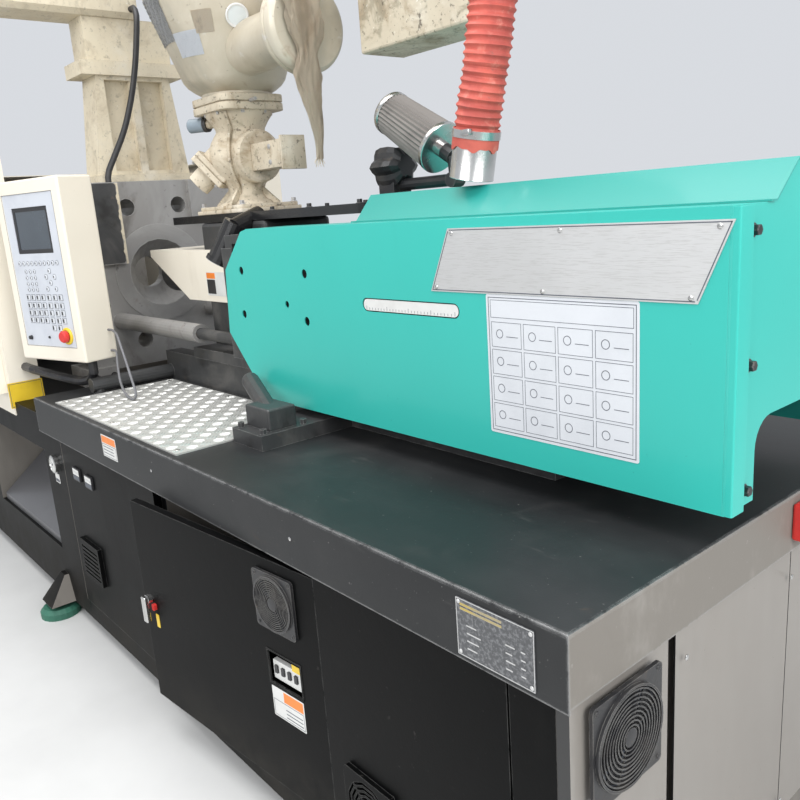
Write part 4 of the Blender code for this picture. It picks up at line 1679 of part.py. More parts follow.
def build_cords(root, hopper):
    """The hot air hose with its steel spigot, the robot's cable and the panel's thin cable."""
    make_tube("hopper_hose", "hose_red", hopper, smooth_route(HOSE_ROUTE, HOSE_STEP), HOSE_RADIUS, 3)
    top = Vector(HOSE_ROUTE[-1])
    along = (top - Vector(HOSE_ROUTE[-2])).normalized()
    inner = SPIGOT_RADIUS - SPIGOT_WALL
    profile = [(SPIGOT_RADIUS, GAP), (SPIGOT_RADIUS, SPIGOT_LENGTH), (inner, SPIGOT_LENGTH), (inner, GAP)]
    make("hose_spigot", "bright_steel", hopper, turned(profile, top, along), at=tuple(top))
    make_tube("robot_cable", "cable_black", root, smooth_route(ROBOT_CABLE_ROUTE, ROBOT_CABLE_STEP),
              ROBOT_CABLE_RADIUS, 2)
    make_tube("panel_cable", "cable_grey", root, smooth_route(PANEL_CABLE_ROUTE, PANEL_CABLE_STEP),
              PANEL_CABLE_RADIUS, 2)


def main():
    for item in list(bpy.data.objects):
        bpy.data.objects.remove(item, do_unlink=True)
    x_low = GUARD_LEFT
    x_high = BED_RIGHT + GAP + STOP_BOX_DEPTH + STOP_TRAVEL + SINK + STOP_HEAD_THICK
    y_low, y_high = BEAM_RIGHT_END - BEAM_LENGTH, FOOT_OUT + PAD_RADIUS
    root = empty("machine", (-(x_low + x_high) / 2, -(y_low + y_high) / 2, 0), None)
    carriage = empty("injection_carriage", (0, 0, 0), root)
    spin = empty("screw_axis", (0, 0, 0), carriage)
    hopper = empty("hopper", (0, 0, 0), carriage)
    build_bed(root)
    build_front_panels(root)
    build_cabinet_door(root)
    build_end_stop(root)
    build_tread_and_chute(root)
    build_platens(root)
    build_clamp(root)
    build_guard(root)
    build_panel(root)
    build_slide_base(root)
    build_feed_housing(carriage)
    build_barrel(carriage)
    build_screw(spin)
    build_injection_head(carriage)
    build_purge_guard(carriage)
    build_covers(carriage)
    build_hopper_slide(carriage)
    build_blower(carriage)
    build_valve(hopper)
    build_hopper_body(hopper)
    build_control_box(hopper)
    build_filter_bag(hopper)
    build_robot(root)
    build_cords(root, hopper)


main()
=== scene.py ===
# The looks of the injection moulding machine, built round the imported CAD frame. Metres.
import json
import math

import bmesh
import bpy
from mathutils import Matrix, Vector


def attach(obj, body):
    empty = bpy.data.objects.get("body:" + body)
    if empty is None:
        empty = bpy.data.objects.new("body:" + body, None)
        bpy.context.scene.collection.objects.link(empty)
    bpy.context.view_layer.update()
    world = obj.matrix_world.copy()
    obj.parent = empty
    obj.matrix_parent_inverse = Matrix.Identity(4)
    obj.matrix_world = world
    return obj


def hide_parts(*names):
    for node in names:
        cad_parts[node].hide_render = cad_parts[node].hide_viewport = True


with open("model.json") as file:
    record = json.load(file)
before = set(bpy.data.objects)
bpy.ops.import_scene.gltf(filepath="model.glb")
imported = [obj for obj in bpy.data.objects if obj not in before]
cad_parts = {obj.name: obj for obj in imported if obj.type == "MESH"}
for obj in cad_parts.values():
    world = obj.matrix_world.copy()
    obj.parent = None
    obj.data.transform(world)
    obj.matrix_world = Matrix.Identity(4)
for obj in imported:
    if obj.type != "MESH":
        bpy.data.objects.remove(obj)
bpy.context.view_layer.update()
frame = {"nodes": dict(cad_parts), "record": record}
NODES = frame["nodes"]

# Points in this script are in the machine's own frame; this moves them onto the row's frame
SHIFT = Vector((-0.0100, 0.35875, 0))
TURN = 2 * math.pi
UP = Vector((0, 0, 1))


# Camera and room. The camera was fitted to the photograph; its axes are right, up and backwards

CAMERA_PLACE = Vector((2.990, -1.353, 1.345))
CAMERA_AXES = Matrix(((0.65008, 0.75675, -0.06878), (-0.13741, 0.20610, 0.96884), (0.74734, -0.62037, 0.23796)))


def make_camera():
    data = bpy.data.cameras.new("camera")
    data.sensor_width = 36
    data.lens = 35.49
    data.clip_start = 0.05
    camera = bpy.data.objects.new("camera", data)
    camera.matrix_world = Matrix.Translation(CAMERA_PLACE + SHIFT) @ CAMERA_AXES.transposed().to_4x4()
    bpy.context.scene.collection.objects.link(camera)
    bpy.context.scene.camera = camera


def area_light(name, place, target, size, power):
    data = bpy.data.lights.new(name, "AREA")
    data.shape = "RECTANGLE"
    data.size, data.size_y = size
    data.energy = power
    lamp = bpy.data.objects.new(name, data)
    lamp.location = place
    lamp.rotation_euler = (Vector(target) - Vector(place)).to_track_quat("-Z", "Y").to_euler()
    bpy.context.scene.collection.objects.link(lamp)


def make_room():
    bm = bmesh.new()
    bmesh.ops.create_grid(bm, x_segments=1, y_segments=1, size=30)
    mesh = bpy.data.meshes.new("floor")
    bm.to_mesh(mesh)
    bm.free()
    floor = bpy.data.objects.new("floor", mesh)
    bpy.context.scene.collection.objects.link(floor)
    look = Look("floor_look", (0.62, 0.62, 0.61), 0.75)
    look.tint((0.52, 0.52, 0.51), 1.5, 0.35, 0.75, 0.6)
    floor.data.materials.append(look.material)
    world = bpy.data.worlds.new("room")
    world.use_nodes = True
    background = world.node_tree.nodes["Background"]
    background.inputs["Color"].default_value = (0.92, 0.95, 1.0, 1)
    background.inputs["Strength"].default_value = 0.75
    bpy.context.scene.world = world
    bpy.context.scene.view_settings.view_transform = "Standard"
    area_light("over", (0.6, -0.6, 5.2), (0.6, 0.2, 0), (5.0, 3.0), 215)
    area_light("front", (2.6, -4.6, 3.4), (0.8, 0, 0.9), (3.5, 2.2), 150)
    area_light("end", (5.6, -0.4, 2.6), (1.6, 0, 0.8), (2.6, 2.0), 125)


# Node materials

class Look:
    """A Principled material built up in layers of colour, roughness and bump."""

    def __init__(self, name, colour, rough, metal=0.0, coat=0.0):
        self.material = bpy.data.materials.new(name)
        self.material.use_nodes = True
        self.tree = self.material.node_tree
        self.shader = self.tree.nodes["Principled BSDF"]
        self.shader.inputs["Base Color"].default_value = (*colour, 1)
        self.shader.inputs["Roughness"].default_value = rough
        self.shader.inputs["Metallic"].default_value = metal
        if coat:
            self.shader.inputs["Coat Weight"].default_value = coat
            self.shader.inputs["Coat Roughness"].default_value = 0.12
        self.place = self.node("ShaderNodeTexCoord").outputs["Object"]
        self.last = {}
        self.height = None

    def node(self, kind, **values):
        made = self.tree.nodes.new(kind)
        for key, value in values.items():
            setattr(made, key, value)
        return made

    def link(self, source, target):
        self.tree.links.new(source, target)

    def noise(self, scale, detail=5.0, rough=0.6, stretch=(1, 1, 1), warp=0.0):
        mapping = self.node("ShaderNodeMapping")
        mapping.inputs["Scale"].default_value = stretch
        self.link(self.place, mapping.inputs["Vector"])
        made = self.node("ShaderNodeTexNoise")
        made.inputs["Scale"].default_value = scale
        made.inputs["Detail"].default_value = detail
        made.inputs["Roughness"].default_value = rough
        made.inputs["Distortion"].default_value = warp
        self.link(mapping.outputs["Vector"], made.inputs["Vector"])
        return made.outputs["Fac"]

    def math(self, operation, first, second):
        made = self.node("ShaderNodeMath", operation=operation)
        for slot, value in ((0, first), (1, second)):
            if isinstance(value, (int, float)):
                made.inputs[slot].default_value = value
            else:
                self.link(value, made.inputs[slot])
        return made.outputs[0]

    def window(self, source, low, high, top=1.0):
        """A smooth step of a value from low to high, up to top."""
        made = self.node("ShaderNodeMapRange", interpolation_type="SMOOTHSTEP", clamp=True)
        self.link(source, made.inputs["Value"])
        made.inputs["From Min"].default_value = low
        made.inputs["From Max"].default_value = high
        made.inputs["To Max"].default_value = top
        return made.outputs["Result"]

    def mix(self, name, mask, value):
        """Lays a value over an input of the shader by a mask: its colour, its roughness or its metal."""
        socket = self.shader.inputs[name]
        kind, below, above, mixed = ("RGBA", 6, 7, 2) if name == "Base Color" else ("FLOAT", 2, 3, 0)
        made = self.node("ShaderNodeMix", data_type=kind)
        self.link(mask, made.inputs[0])
        if name in self.last:
            self.link(self.last[name], made.inputs[below])
        else:
            made.inputs[below].default_value = socket.default_value
        made.inputs[above].default_value = value
        self.last[name] = made.outputs[mixed]
        self.link(made.outputs[mixed], socket)

    def over(self, mask, colour, rough=None, metal=None):
        self.mix("Base Color", mask, (*colour, 1))
        if rough is not None:
            self.mix("Roughness", mask, rough)
        if metal is not None:
            self.mix("Metallic", mask, metal)

    def tint(self, colour, scale, low, high, amount=1.0, stretch=(1, 1, 1), rough=None, metal=None, warp=0.0):
        """Patches of a second colour where a noise is high."""
        self.over(self.window(self.noise(scale, stretch=stretch, warp=warp), low, high, amount), colour, rough, metal)

    def edges(self, colour, radius, amount=0.9, rough=None, metal=None, low=0.04, high=0.2):
        """Wear along sharp edges, broken up by noise; on the bed top the same mask is also a painted highlight along
        the rounded front edge.
        """
        bevel = self.node("ShaderNodeBevel", samples=4)
        bevel.inputs["Radius"].default_value = radius
        flat = self.node("ShaderNodeNewGeometry")
        dot = self.node("ShaderNodeVectorMath", operation="DOT_PRODUCT")
        self.link(bevel.outputs["Normal"], dot.inputs[0])
        self.link(flat.outputs["Normal"], dot.inputs[1])
        bent = self.math("SUBTRACT", 1.0, dot.outputs["Value"])
        broken = self.math("MULTIPLY", bent, self.window(self.noise(26, rough=0.7), 0.30, 0.62))
        self.over(self.window(broken, low, high, amount), colour, rough, metal)

    def facing(self, axis, sign):
        """A mask of the faces that look along a world axis."""
        flat = self.node("ShaderNodeNewGeometry")
        split = self.node("ShaderNodeSeparateXYZ")
        self.link(flat.outputs["Normal"], split.inputs[0])
        return self.window(self.math("MULTIPLY", split.outputs[axis], sign), 0.75, 0.90)

    def below(self, colour, z_full, z_none, amount):
        """Dirt that gathers towards the floor."""
        split = self.node("ShaderNodeSeparateXYZ")
        self.link(self.place, split.inputs[0])
        fall = self.window(split.outputs["Z"], z_none, z_full)
        mask = self.math("MULTIPLY", fall, self.window(self.noise(9.0, rough=0.7), 0.25, 0.75, amount))
        self.over(mask, colour, 0.85)

    def bump(self, source, distance, strength):
        made = self.node("ShaderNodeBump")
        made.inputs["Strength"].default_value = strength
        made.inputs["Distance"].default_value = distance
        self.link(source, made.inputs["Height"])
        if self.height is not None:
            self.link(self.height, made.inputs["Normal"])
        self.height = made.outputs["Normal"]
        self.link(self.height, self.shader.inputs["Normal"])

    def grain(self, scale, distance, strength, stretch=(1, 1, 1)):
        self.bump(self.noise(scale, detail=3.0, stretch=stretch), distance, strength)


def charcoal(name):
    look = Look(name, (0.0022, 0.0023, 0.0024), 0.42)
    look.shader.inputs["Specular IOR Level"].default_value = 0.07
    look.tint((0.0055, 0.0055, 0.0055), 2.2, 0.40, 0.75, 0.8, rough=0.50)
    look.tint((0.015, 0.0147, 0.014), 7.0, 0.56, 0.82, 0.40, stretch=(1, 1, 0.25), rough=0.60)
    look.tint((0.075, 0.072, 0.067), 60.0, 0.67, 0.74, 0.35, rough=0.7)
    look.below((0.060, 0.056, 0.049), 0.05, 0.30, 0.50)
    look.edges((0.12, 0.12, 0.115), 0.003, 0.65, rough=0.35)
    look.grain(260, 0.0004, 0.35)
    look.grain(30, 0.0009, 0.25)
    return look


def frame_look():
    """The bed frame: charcoal, with the lighter grey of the end panels on what faces the right-hand end."""
    look = charcoal("frame_look")
    end = look.facing("X", 1.0)
    look.over(end, (0.205, 0.190, 0.170))
    streaks = look.window(look.noise(6.0, stretch=(1, 1, 0.3)), 0.45, 0.72, 0.6)
    look.over(look.math("MULTIPLY", end, streaks), (0.135, 0.125, 0.112))
    return look


def end_panel_look():
    """The end panels: grey sheet whose folded front edges, facing the operator, are painted near-black: partly the
    charcoal of the operator's side, partly painted shade.
    """
    look = enamel("end_panel_look", (0.225, 0.205, 0.182), (0.185, 0.168, 0.15), (0.10, 0.09, 0.08),
                  (0.40, 0.38, 0.35), 0.40)
    look.tint((0.30, 0.285, 0.262), 1.2, 0.40, 0.72, 0.6, stretch=(1, 1, 0.25), rough=0.34)
    # Faces that look towards the operator are painted near-black: charcoal paint and painted shade.
    look.over(look.facing("Y", -1.0), (0.012, 0.012, 0.0125))
    return look


def bed_top_look():
    look = Look("bed_top_look", (0.0135, 0.0145, 0.0155), 0.42)
    look.shader.inputs["Specular IOR Level"].default_value = 0.24
    look.tint((0.036, 0.037, 0.038), 1.3, 0.36, 0.70, 0.9, rough=0.50, warp=0.3)
    look.tint((0.070, 0.067, 0.064), 3.2, 0.52, 0.80, 0.50, rough=0.60, warp=0.5)
    look.tint((0.12, 0.115, 0.11), 26.0, 0.62, 0.80, 0.30, stretch=(0.25, 1, 1), rough=0.62)
    look.tint((0.10, 0.070, 0.048), 9.0, 0.66, 0.82, 0.40, rough=0.7, warp=0.8)
    end = look.facing("X", 1.0)
    look.over(end, (0.185, 0.170, 0.150))
    rubbed = look.window(look.noise(5.0, stretch=(1, 1, 0.6), rough=0.7), 0.50, 0.74, 0.7)
    look.over(look.math("MULTIPLY", end, rubbed), (0.31, 0.295, 0.27))
    look.tint((0.34, 0.33, 0.31), 130.0, 0.68, 0.73, 0.55, rough=0.75)
    # Bright edge band: wear along the edges, and a painted highlight along the rounded front edge.
    look.edges((0.36, 0.36, 0.355), 0.006, 0.75, rough=0.28, metal=0.5, low=0.0, high=0.12)
    look.grain(240, 0.0004, 0.3)
    look.grain(14, 0.0012, 0.3)
    return look


def enamel(name, colour, deep, stain, wear, rough):
    look = Look(name, colour, rough, coat=0.2)
    look.tint(deep, 1.3, 0.35, 0.72, 0.6, warp=0.4)
    look.tint(stain, 8.0, 0.60, 0.82, 0.22, stretch=(1, 1, 0.35), rough=rough + 0.15)
    look.tint(stain, 90.0, 0.70, 0.76, 0.5, rough=0.7)
    look.edges(wear, 0.0022, 0.5, rough=0.5)
    look.grain(330, 0.0003, 0.3)
    look.grain(22, 0.0008, 0.2)
    return look


def casting():
    look = Look("casting_look", (0.335, 0.325, 0.312), 0.45, metal=0.30)
    look.tint((0.44, 0.432, 0.42), 3.4, 0.42, 0.68, 0.80, rough=0.36, warp=0.8)
    look.tint((0.155, 0.140, 0.128), 5.0, 0.54, 0.72, 0.75, rough=0.6, stretch=(1, 1, 0.45), warp=1.0)
    look.tint((0.20, 0.145, 0.105), 13.0, 0.60, 0.78, 0.55, rough=0.8, metal=0.1)
    look.tint((0.050, 0.045, 0.042), 30.0, 0.64, 0.74, 0.60, rough=0.7, metal=0.1)
    look.edges((0.66, 0.65, 0.63), 0.004, 0.9, rough=0.28)
    look.grain(40, 0.0011, 0.4)
    look.grain(400, 0.0003, 0.5, (1, 0.06, 1))
    return look


def dark_iron():
    """Oiled dark casting, as on the feed housing and the feet of the injection unit."""
    look = Look("dark_iron_look", (0.045, 0.046, 0.047), 0.46, metal=0.25)
    look.tint((0.12, 0.115, 0.108), 5.0, 0.46, 0.72, 0.75, rough=0.55, warp=0.9)
    look.tint((0.020, 0.019, 0.018), 11.0, 0.52, 0.72, 0.75, rough=0.35)
    look.tint((0.17, 0.12, 0.085), 30.0, 0.63, 0.76, 0.5, rough=0.8)
    look.edges((0.30, 0.30, 0.29), 0.003, 0.85, rough=0.32)
    look.grain(60, 0.0010, 0.5)
    return look


def bright(name, grain_axis=(0.05, 1, 1), colour=(0.58, 0.58, 0.57), rough=0.24):
    look = Look(name, colour, rough, metal=1.0)
    look.tint((0.36, 0.35, 0.33), 9.0, 0.45, 0.75, 0.7, rough=rough + 0.14)
    look.tint((0.23, 0.17, 0.12), 34.0, 0.64, 0.78, 0.5, rough=0.62, metal=0.5)
    look.edges((0.8, 0.8, 0.8), 0.0015, 0.7, rough=0.18)
    look.grain(520, 0.0002, 0.5, grain_axis)
    return look


def black_iron():
    look = Look("black_iron_look", (0.018, 0.018, 0.020), 0.38)
    look.tint((0.055, 0.050, 0.046), 14.0, 0.45, 0.70, 0.7, rough=0.58)
    look.tint((0.15, 0.11, 0.075), 40.0, 0.64, 0.76, 0.55, rough=0.8)
    look.edges((0.30, 0.29, 0.27), 0.0022, 0.75, rough=0.35, metal=0.6)
    look.grain(120, 0.0006, 0.5)
    return look


def aged(name, colour=(0.60, 0.53, 0.41), dirt=1.0):
    look = Look(name, colour, 0.60)
    look.tint((0.46, 0.39, 0.285), 3.2, 0.38, 0.68, 0.75 * dirt, rough=0.68, warp=0.7)
    look.tint((0.70, 0.655, 0.56), 7.0, 0.54, 0.70, 0.60, rough=0.55)
    look.tint((0.285, 0.205, 0.120), 9.0, 0.50, 0.70, 0.70 * dirt, rough=0.8, warp=1.2)
    look.tint((0.21, 0.185, 0.125), 16.0, 0.55, 0.68, 0.55 * dirt, rough=0.8, warp=0.8)
    look.tint((0.33, 0.255, 0.165), 5.0, 0.56, 0.74, 0.55 * dirt, stretch=(1, 1, 0.18), rough=0.75)
    look.tint((0.085, 0.068, 0.050), 42.0, 0.60, 0.70, 0.80 * dirt, rough=0.75)
    look.tint((0.060, 0.050, 0.038), 95.0, 0.60, 0.68, 0.60 * dirt, rough=0.75)
    look.tint((0.78, 0.75, 0.68), 70.0, 0.66, 0.72, 0.7)
    look.edges((0.20, 0.145, 0.095), 0.004, 0.75 * dirt, rough=0.7)
    look.grain(55, 0.0013, 0.5)
    look.grain(9, 0.003, 0.3)
    return look


def cone_look():
    """The dryer's cone: thin aged paint over bright sheet, dusty and rubbed through in patches."""
    look = Look("cone_look", (0.50, 0.445, 0.345), 0.42, metal=0.15)
    look.tint((0.62, 0.575, 0.475), 2.4, 0.40, 0.66, 0.85, rough=0.36, warp=0.8)
    look.tint((0.37, 0.315, 0.225), 4.0, 0.52, 0.72, 0.70, stretch=(1, 1, 0.5), rough=0.52, warp=0.8)
    look.tint((0.30, 0.215, 0.135), 15.0, 0.58, 0.76, 0.50, rough=0.7, warp=1.0)
    look.tint((0.30, 0.29, 0.24), 3.0, 0.50, 0.66, 0.65, stretch=(1, 1, 0.35), rough=0.40, warp=0.5)
    look.tint((0.70, 0.69, 0.67), 22.0, 0.64, 0.74, 0.45, rough=0.25, metal=0.8)
    look.tint((0.10, 0.08, 0.06), 60.0, 0.66, 0.74, 0.55, rough=0.8)
    look.edges((0.24, 0.18, 0.12), 0.004, 0.6, rough=0.7)
    look.grain(24, 0.0012, 0.35)
    return look


def plastic(name, colour, deep, rough=0.42):
    look = Look(name, colour, rough)
    look.tint(deep, 12.0, 0.42, 0.72, 0.6, rough=rough + 0.1)
    look.tint(tuple(c * 0.5 for c in deep), 80.0, 0.68, 0.76, 0.4)
    look.edges(tuple(min(1, c * 1.35 + 0.02) for c in colour), 0.0012, 0.5)
    look.grain(500, 0.0002, 0.5)
    return look


def tread_look():
    look = Look("tread_look", (0.54, 0.54, 0.515), 0.42, metal=0.45)
    look.tint((0.42, 0.415, 0.39), 5.0, 0.42, 0.70, 0.65, rough=0.5, warp=0.6)
    look.tint((0.17, 0.16, 0.145), 14.0, 0.57, 0.74, 0.60, rough=0.65, warp=1.0)
    look.tint((0.22, 0.165, 0.11), 34.0, 0.64, 0.76, 0.45, rough=0.75)
    look.tint((0.86, 0.86, 0.84), 60.0, 0.60, 0.72, 0.6, rough=0.3)
    look.edges((0.88, 0.88, 0.87), 0.0015, 0.85, rough=0.22)
    look.grain(300, 0.0003, 0.5)
    return look


def cloth_look():
    look = Look("cloth_look", (0.70, 0.60, 0.46), 0.92)
    look.shader.inputs["Sheen Weight"].default_value = 0.25
    look.tint((0.80, 0.73, 0.61), 6.0, 0.42, 0.68, 0.8, stretch=(1, 1, 0.3))
    look.tint((0.44, 0.345, 0.24), 12.0, 0.48, 0.72, 0.75, stretch=(1, 1, 0.25), warp=0.8)
    look.tint((0.42, 0.28, 0.155), 8.0, 0.54, 0.72, 0.65, stretch=(1, 1, 0.35), warp=1.0)
    look.tint((0.22, 0.165, 0.11), 26.0, 0.58, 0.76, 0.6, stretch=(1, 1, 0.3))
    for direction in ("Z", "DIAGONAL"):
        weave = look.node("ShaderNodeTexWave", wave_type="BANDS", bands_direction=direction)
        weave.inputs["Scale"].default_value = 320
        look.link(look.place, weave.inputs["Vector"])
        look.bump(weave.outputs["Fac"], 0.0006, 0.6)
    return look


def hose_look():
    look = Look("hose_look", (0.56, 0.105, 0.075), 0.55)
    look.tint((0.36, 0.060, 0.048), 14.0, 0.36, 0.66, 0.8, rough=0.66)
    look.tint((0.66, 0.27, 0.21), 40.0, 0.55, 0.76, 0.55)
    look.tint((0.17, 0.10, 0.08), 70.0, 0.64, 0.76, 0.6, rough=0.8)
    look.grain(300, 0.0006, 0.6)
    return look


def plate_look():
    """Brushed aluminium with its fine marks along the plate."""
    look = Look("plate_look", (0.60, 0.60, 0.595), 0.42, metal=0.55)
    look.tint((0.70, 0.70, 0.695), 2.5, 0.40, 0.66, 0.7, rough=0.36)
    look.tint((0.46, 0.455, 0.44), 700.0, 0.50, 0.62, 0.45, stretch=(0.05, 1, 1), rough=0.5)
    look.grain(900, 0.0002, 0.5, (0.05, 1, 1))
    return look


def data_plate_look():
    """Etched plate: dark with silver showing through in fine specks."""
    look = Look("dark_plate_look", (0.085, 0.087, 0.092), 0.40, metal=0.3)
    look.tint((0.24, 0.245, 0.255), 160.0, 0.46, 0.62, 0.75, rough=0.34, metal=0.7)
    look.tint((0.035, 0.036, 0.040), 90.0, 0.60, 0.72, 0.70, rough=0.5)
    look.grain(300, 0.0002, 0.4)
    return look


def screen_look():
    look = Look("screen_look", (0.030, 0.042, 0.055), 0.10, coat=0.8)
    look.tint((0.050, 0.066, 0.082), 3.0, 0.3, 0.7, 0.8, rough=0.16)
    look.tint((0.20, 0.20, 0.20), 140.0, 0.70, 0.76, 0.4, rough=0.5)
    look.grain(60, 0.0001, 0.2)
    return look


# The looks by name; where a name is one of the record's material slots, it dresses the nodes with that slot
LOOKS = {
    "charcoal_paint": charcoal("charcoal_look"),
    "bed_top": bed_top_look(),
    "cream_paint": enamel("cream_look", (0.80, 0.745, 0.635), (0.72, 0.665, 0.555), (0.42, 0.36, 0.27),
                          (0.55, 0.5, 0.42), 0.42),
    "teal_paint": enamel("teal_look", (0.030, 0.440, 0.378), (0.026, 0.400, 0.345), (0.018, 0.24, 0.21),
                         (0.12, 0.60, 0.53), 0.38),
    "frame": frame_look(),
    "end_panel": end_panel_look(),
    # The roof is a darker copy of the teal paint: painted shade, so the top, lit more from above, reads like the front.
    "teal_roof": enamel("roof_shaded_teal_look", (0.021, 0.305, 0.265), (0.018, 0.280, 0.243), (0.013, 0.17, 0.15),
                        (0.10, 0.45, 0.40), 0.42),
    "chute": enamel("chute_look", (0.085, 0.086, 0.092), (0.070, 0.071, 0.076), (0.035, 0.034, 0.034),
                    (0.16, 0.16, 0.165), 0.38),
    "dark_iron": dark_iron(),
    "cone": cone_look(),
    "gloss_black": plastic("gloss_look", (0.012, 0.012, 0.013), (0.022, 0.021, 0.020), 0.20),
    "glass": plastic("glass_look", (0.62, 0.66, 0.66), (0.54, 0.58, 0.58), 0.14),
    "tape": bright("tape_look", (1, 1, 1), (0.66, 0.65, 0.62), 0.34),
    "slate": plastic("slate_look", (0.235, 0.285, 0.325), (0.18, 0.22, 0.26), 0.45),
    "worn_steel": casting(),
    "bright_steel": bright("bright_look"),
    "tread_aluminium": tread_look(),
    "black_iron": black_iron(),
    "green_pad": plastic("pad_look", (0.035, 0.150, 0.100), (0.020, 0.085, 0.060), 0.6),
    "keypad": plastic("keypad_look", (0.56, 0.585, 0.63), (0.48, 0.50, 0.55), 0.36),
    "red_plastic": plastic("red_look", (0.62, 0.035, 0.030), (0.42, 0.022, 0.020), 0.32),
    "aged_cream": aged("aged_look"),
    "pedestal": aged("pedestal_look", (0.70, 0.625, 0.475), 0.45),
    "filter_grey": plastic("filter_look", (0.20, 0.185, 0.17), (0.10, 0.092, 0.085), 0.7),
    "hose_red": hose_look(),
    "cable_black": plastic("cable_look", (0.020, 0.020, 0.022), (0.045, 0.043, 0.04), 0.45),
    "cable_grey": plastic("grey_cable_look", (0.16, 0.16, 0.17), (0.10, 0.10, 0.10), 0.5),
    "cloth": cloth_look(),
    "white_film": plastic("film_look", (0.62, 0.64, 0.67), (0.55, 0.57, 0.60), 0.40),
    "ink": plastic("ink_look", (0.09, 0.10, 0.12), (0.06, 0.065, 0.08), 0.5),
    "steel_plate": plate_look(),
    "dark_plate": data_plate_look(),
    "gold": bright("gold_look", (1, 1, 1), (0.60, 0.45, 0.12), 0.3),
    "screen": screen_look(),
    "white_plastic": plastic("white_look", (0.66, 0.66, 0.64), (0.55, 0.55, 0.53), 0.4),
    "yellow": plastic("yellow_look", (0.75, 0.52, 0.03), (0.60, 0.40, 0.02), 0.35),
    "orange": plastic("orange_look", (0.80, 0.22, 0.03), (0.62, 0.16, 0.02), 0.35),
    "black_plastic": plastic("black_look", (0.022, 0.022, 0.024), (0.035, 0.034, 0.033), 0.4),
}
OWN_LOOKS = {"bed_top": "bed_top", "bed_frame": "frame", "feed_housing": "dark_iron", "slide_base": "dark_iron",
             "hopper_slide": "gloss_black", "robot_pedestal": "pedestal", "robot_beam": "pedestal",
             "barrel": "dark_iron", "discharge_chute": "chute", "end_panel": "end_panel"}


def dress_frame():
    """Gives each CAD node the look of its slot, apart from those with a look of their own."""
    slots = {part["node"]: part["material_slot"] for part in frame["record"]["subparts"]}
    for name, item in NODES.items():
        look = LOOKS[OWN_LOOKS.get(name, slots[name])]
        for slot in item.material_slots:
            slot.material = look.material


# Mesh helpers, in the machine's frame

PRINT = 0.0002    # how far print stands out, and how far a detail is kept off the solid that it lies on
FILM = 0.0006
INK_BAR = 0.0022


def polar(angle, reach=1.0):
    return reach * math.cos(angle), reach * math.sin(angle)


def ray_at(angle):
    """The level direction at an angle."""
    return Vector((math.cos(angle), math.sin(angle), 0))


def block(low, high, bevel):
    low, high = Vector(low), Vector(high)
    bm = bmesh.new()
    bmesh.ops.create_cube(bm, size=1, matrix=Matrix.Translation((low + high) / 2) @ Matrix.Diagonal((*(high - low), 1)))
    bmesh.ops.bevel(bm, geom=bm.edges[:], offset=bevel, segments=2, profile=0.5, affect="EDGES")
    return bm


def turned(profile, base, axis, steps):
    """A profile of (radius, height) turned about an axis from its base."""
    bm = bmesh.new()
    base = Vector(base)
    along = Vector(axis).normalized()
    across = along.cross(UP if abs(along.z) < 0.99 else Vector((1, 0, 0))).normalized()
    points = [bm.verts.new(base + across * r + along * h) for r, h in profile]
    edges = [bm.edges.new((points[i - 1], points[i])) for i in range(len(points))
             if profile[i - 1][0] > 0 or profile[i][0] > 0]
    bmesh.ops.spin(bm, geom=points + edges, axis=along, cent=base, angle=TURN, steps=steps, use_merge=True)
    bmesh.ops.remove_doubles(bm, verts=bm.verts, dist=1e-6)
    bmesh.ops.recalc_face_normals(bm, faces=bm.faces)
    return bm


def disc(radius, low, high):
    """The profile of a plain disc."""
    return [(0, low), (radius, low), (radius, high), (0, high)]


def band(inner, outer, low, high):
    """The profile of an open ring."""
    return [(inner, low), (outer, low), (outer, high), (inner, high), (inner, low)]


def prism(outline, plane, depth, holes=()):
    """A plate: an outline in its own plane, raised along its normal. A plane is (origin, across, up)."""
    origin, across, up = (Vector(v) for v in plane)
    normal = across.cross(up).normalized()
    bm = bmesh.new()
    edges = []
    for loop in (outline, *holes):
        verts = [bm.verts.new(origin + across * u + up * v) for u, v in loop]
        edges += [bm.edges.new((verts[i - 1], verts[i])) for i in range(len(verts))]
    if holes:
        bmesh.ops.triangle_fill(bm, use_beauty=True, use_dissolve=False, edges=edges)
    else:
        bm.faces.new(verts)
    grown = bmesh.ops.extrude_face_region(bm, geom=bm.faces[:])
    raised = [v for v in grown["geom"] if isinstance(v, bmesh.types.BMVert)]
    bmesh.ops.translate(bm, vec=normal * depth, verts=raised)
    bmesh.ops.recalc_face_normals(bm, faces=bm.faces)
    return bm


def rectangle(u0, u1, v0, v1, corner=0.0, steps=4):
    if not corner:
        return [(u0, v0), (u1, v0), (u1, v1), (u0, v1)]
    points = []
    for cu, cv, start in ((u1 - corner, v0 + corner, -0.25), (u1 - corner, v1 - corner, 0),
                          (u0 + corner, v1 - corner, 0.25), (u0 + corner, v0 + corner, 0.5)):
        for i in range(steps + 1):
            du, dv = polar(TURN * (start + 0.25 * i / steps), corner)
            points.append((cu + du, cv + dv))
    return points


def round_about(centre, half_u, half_v, corner=0.0):
    """The limits of a rectangle round its centre."""
    return centre[0] - half_u, centre[0] + half_u, centre[1] - half_v, centre[1] + half_v, corner


def border(u0, u1, v0, v1, width):
    """The four bars of a thin frame, each by its limits."""
    return [(u0, u1, v0, v0 + width), (u0, u1, v1 - width, v1), (u0, u0 + width, v0 + width, v1 - width),
            (u1 - width, u1, v0 + width, v1 - width)]


def plates(shapes, plane, height):
    """Rectangles by their limits, and a corner radius where there is one, raised off a plane."""
    return [prism(rectangle(*shape), plane, height) for shape in shapes]


def ring_points(radius, steps, centre):
    return [(centre[0] + u, centre[1] + v) for u, v in (polar(TURN * i / steps, radius) for i in range(steps))]


def annulus(outer, inner, steps, centre, plane, height):
    return prism(ring_points(outer, steps, centre), plane, height, [ring_points(inner, steps, centre)])


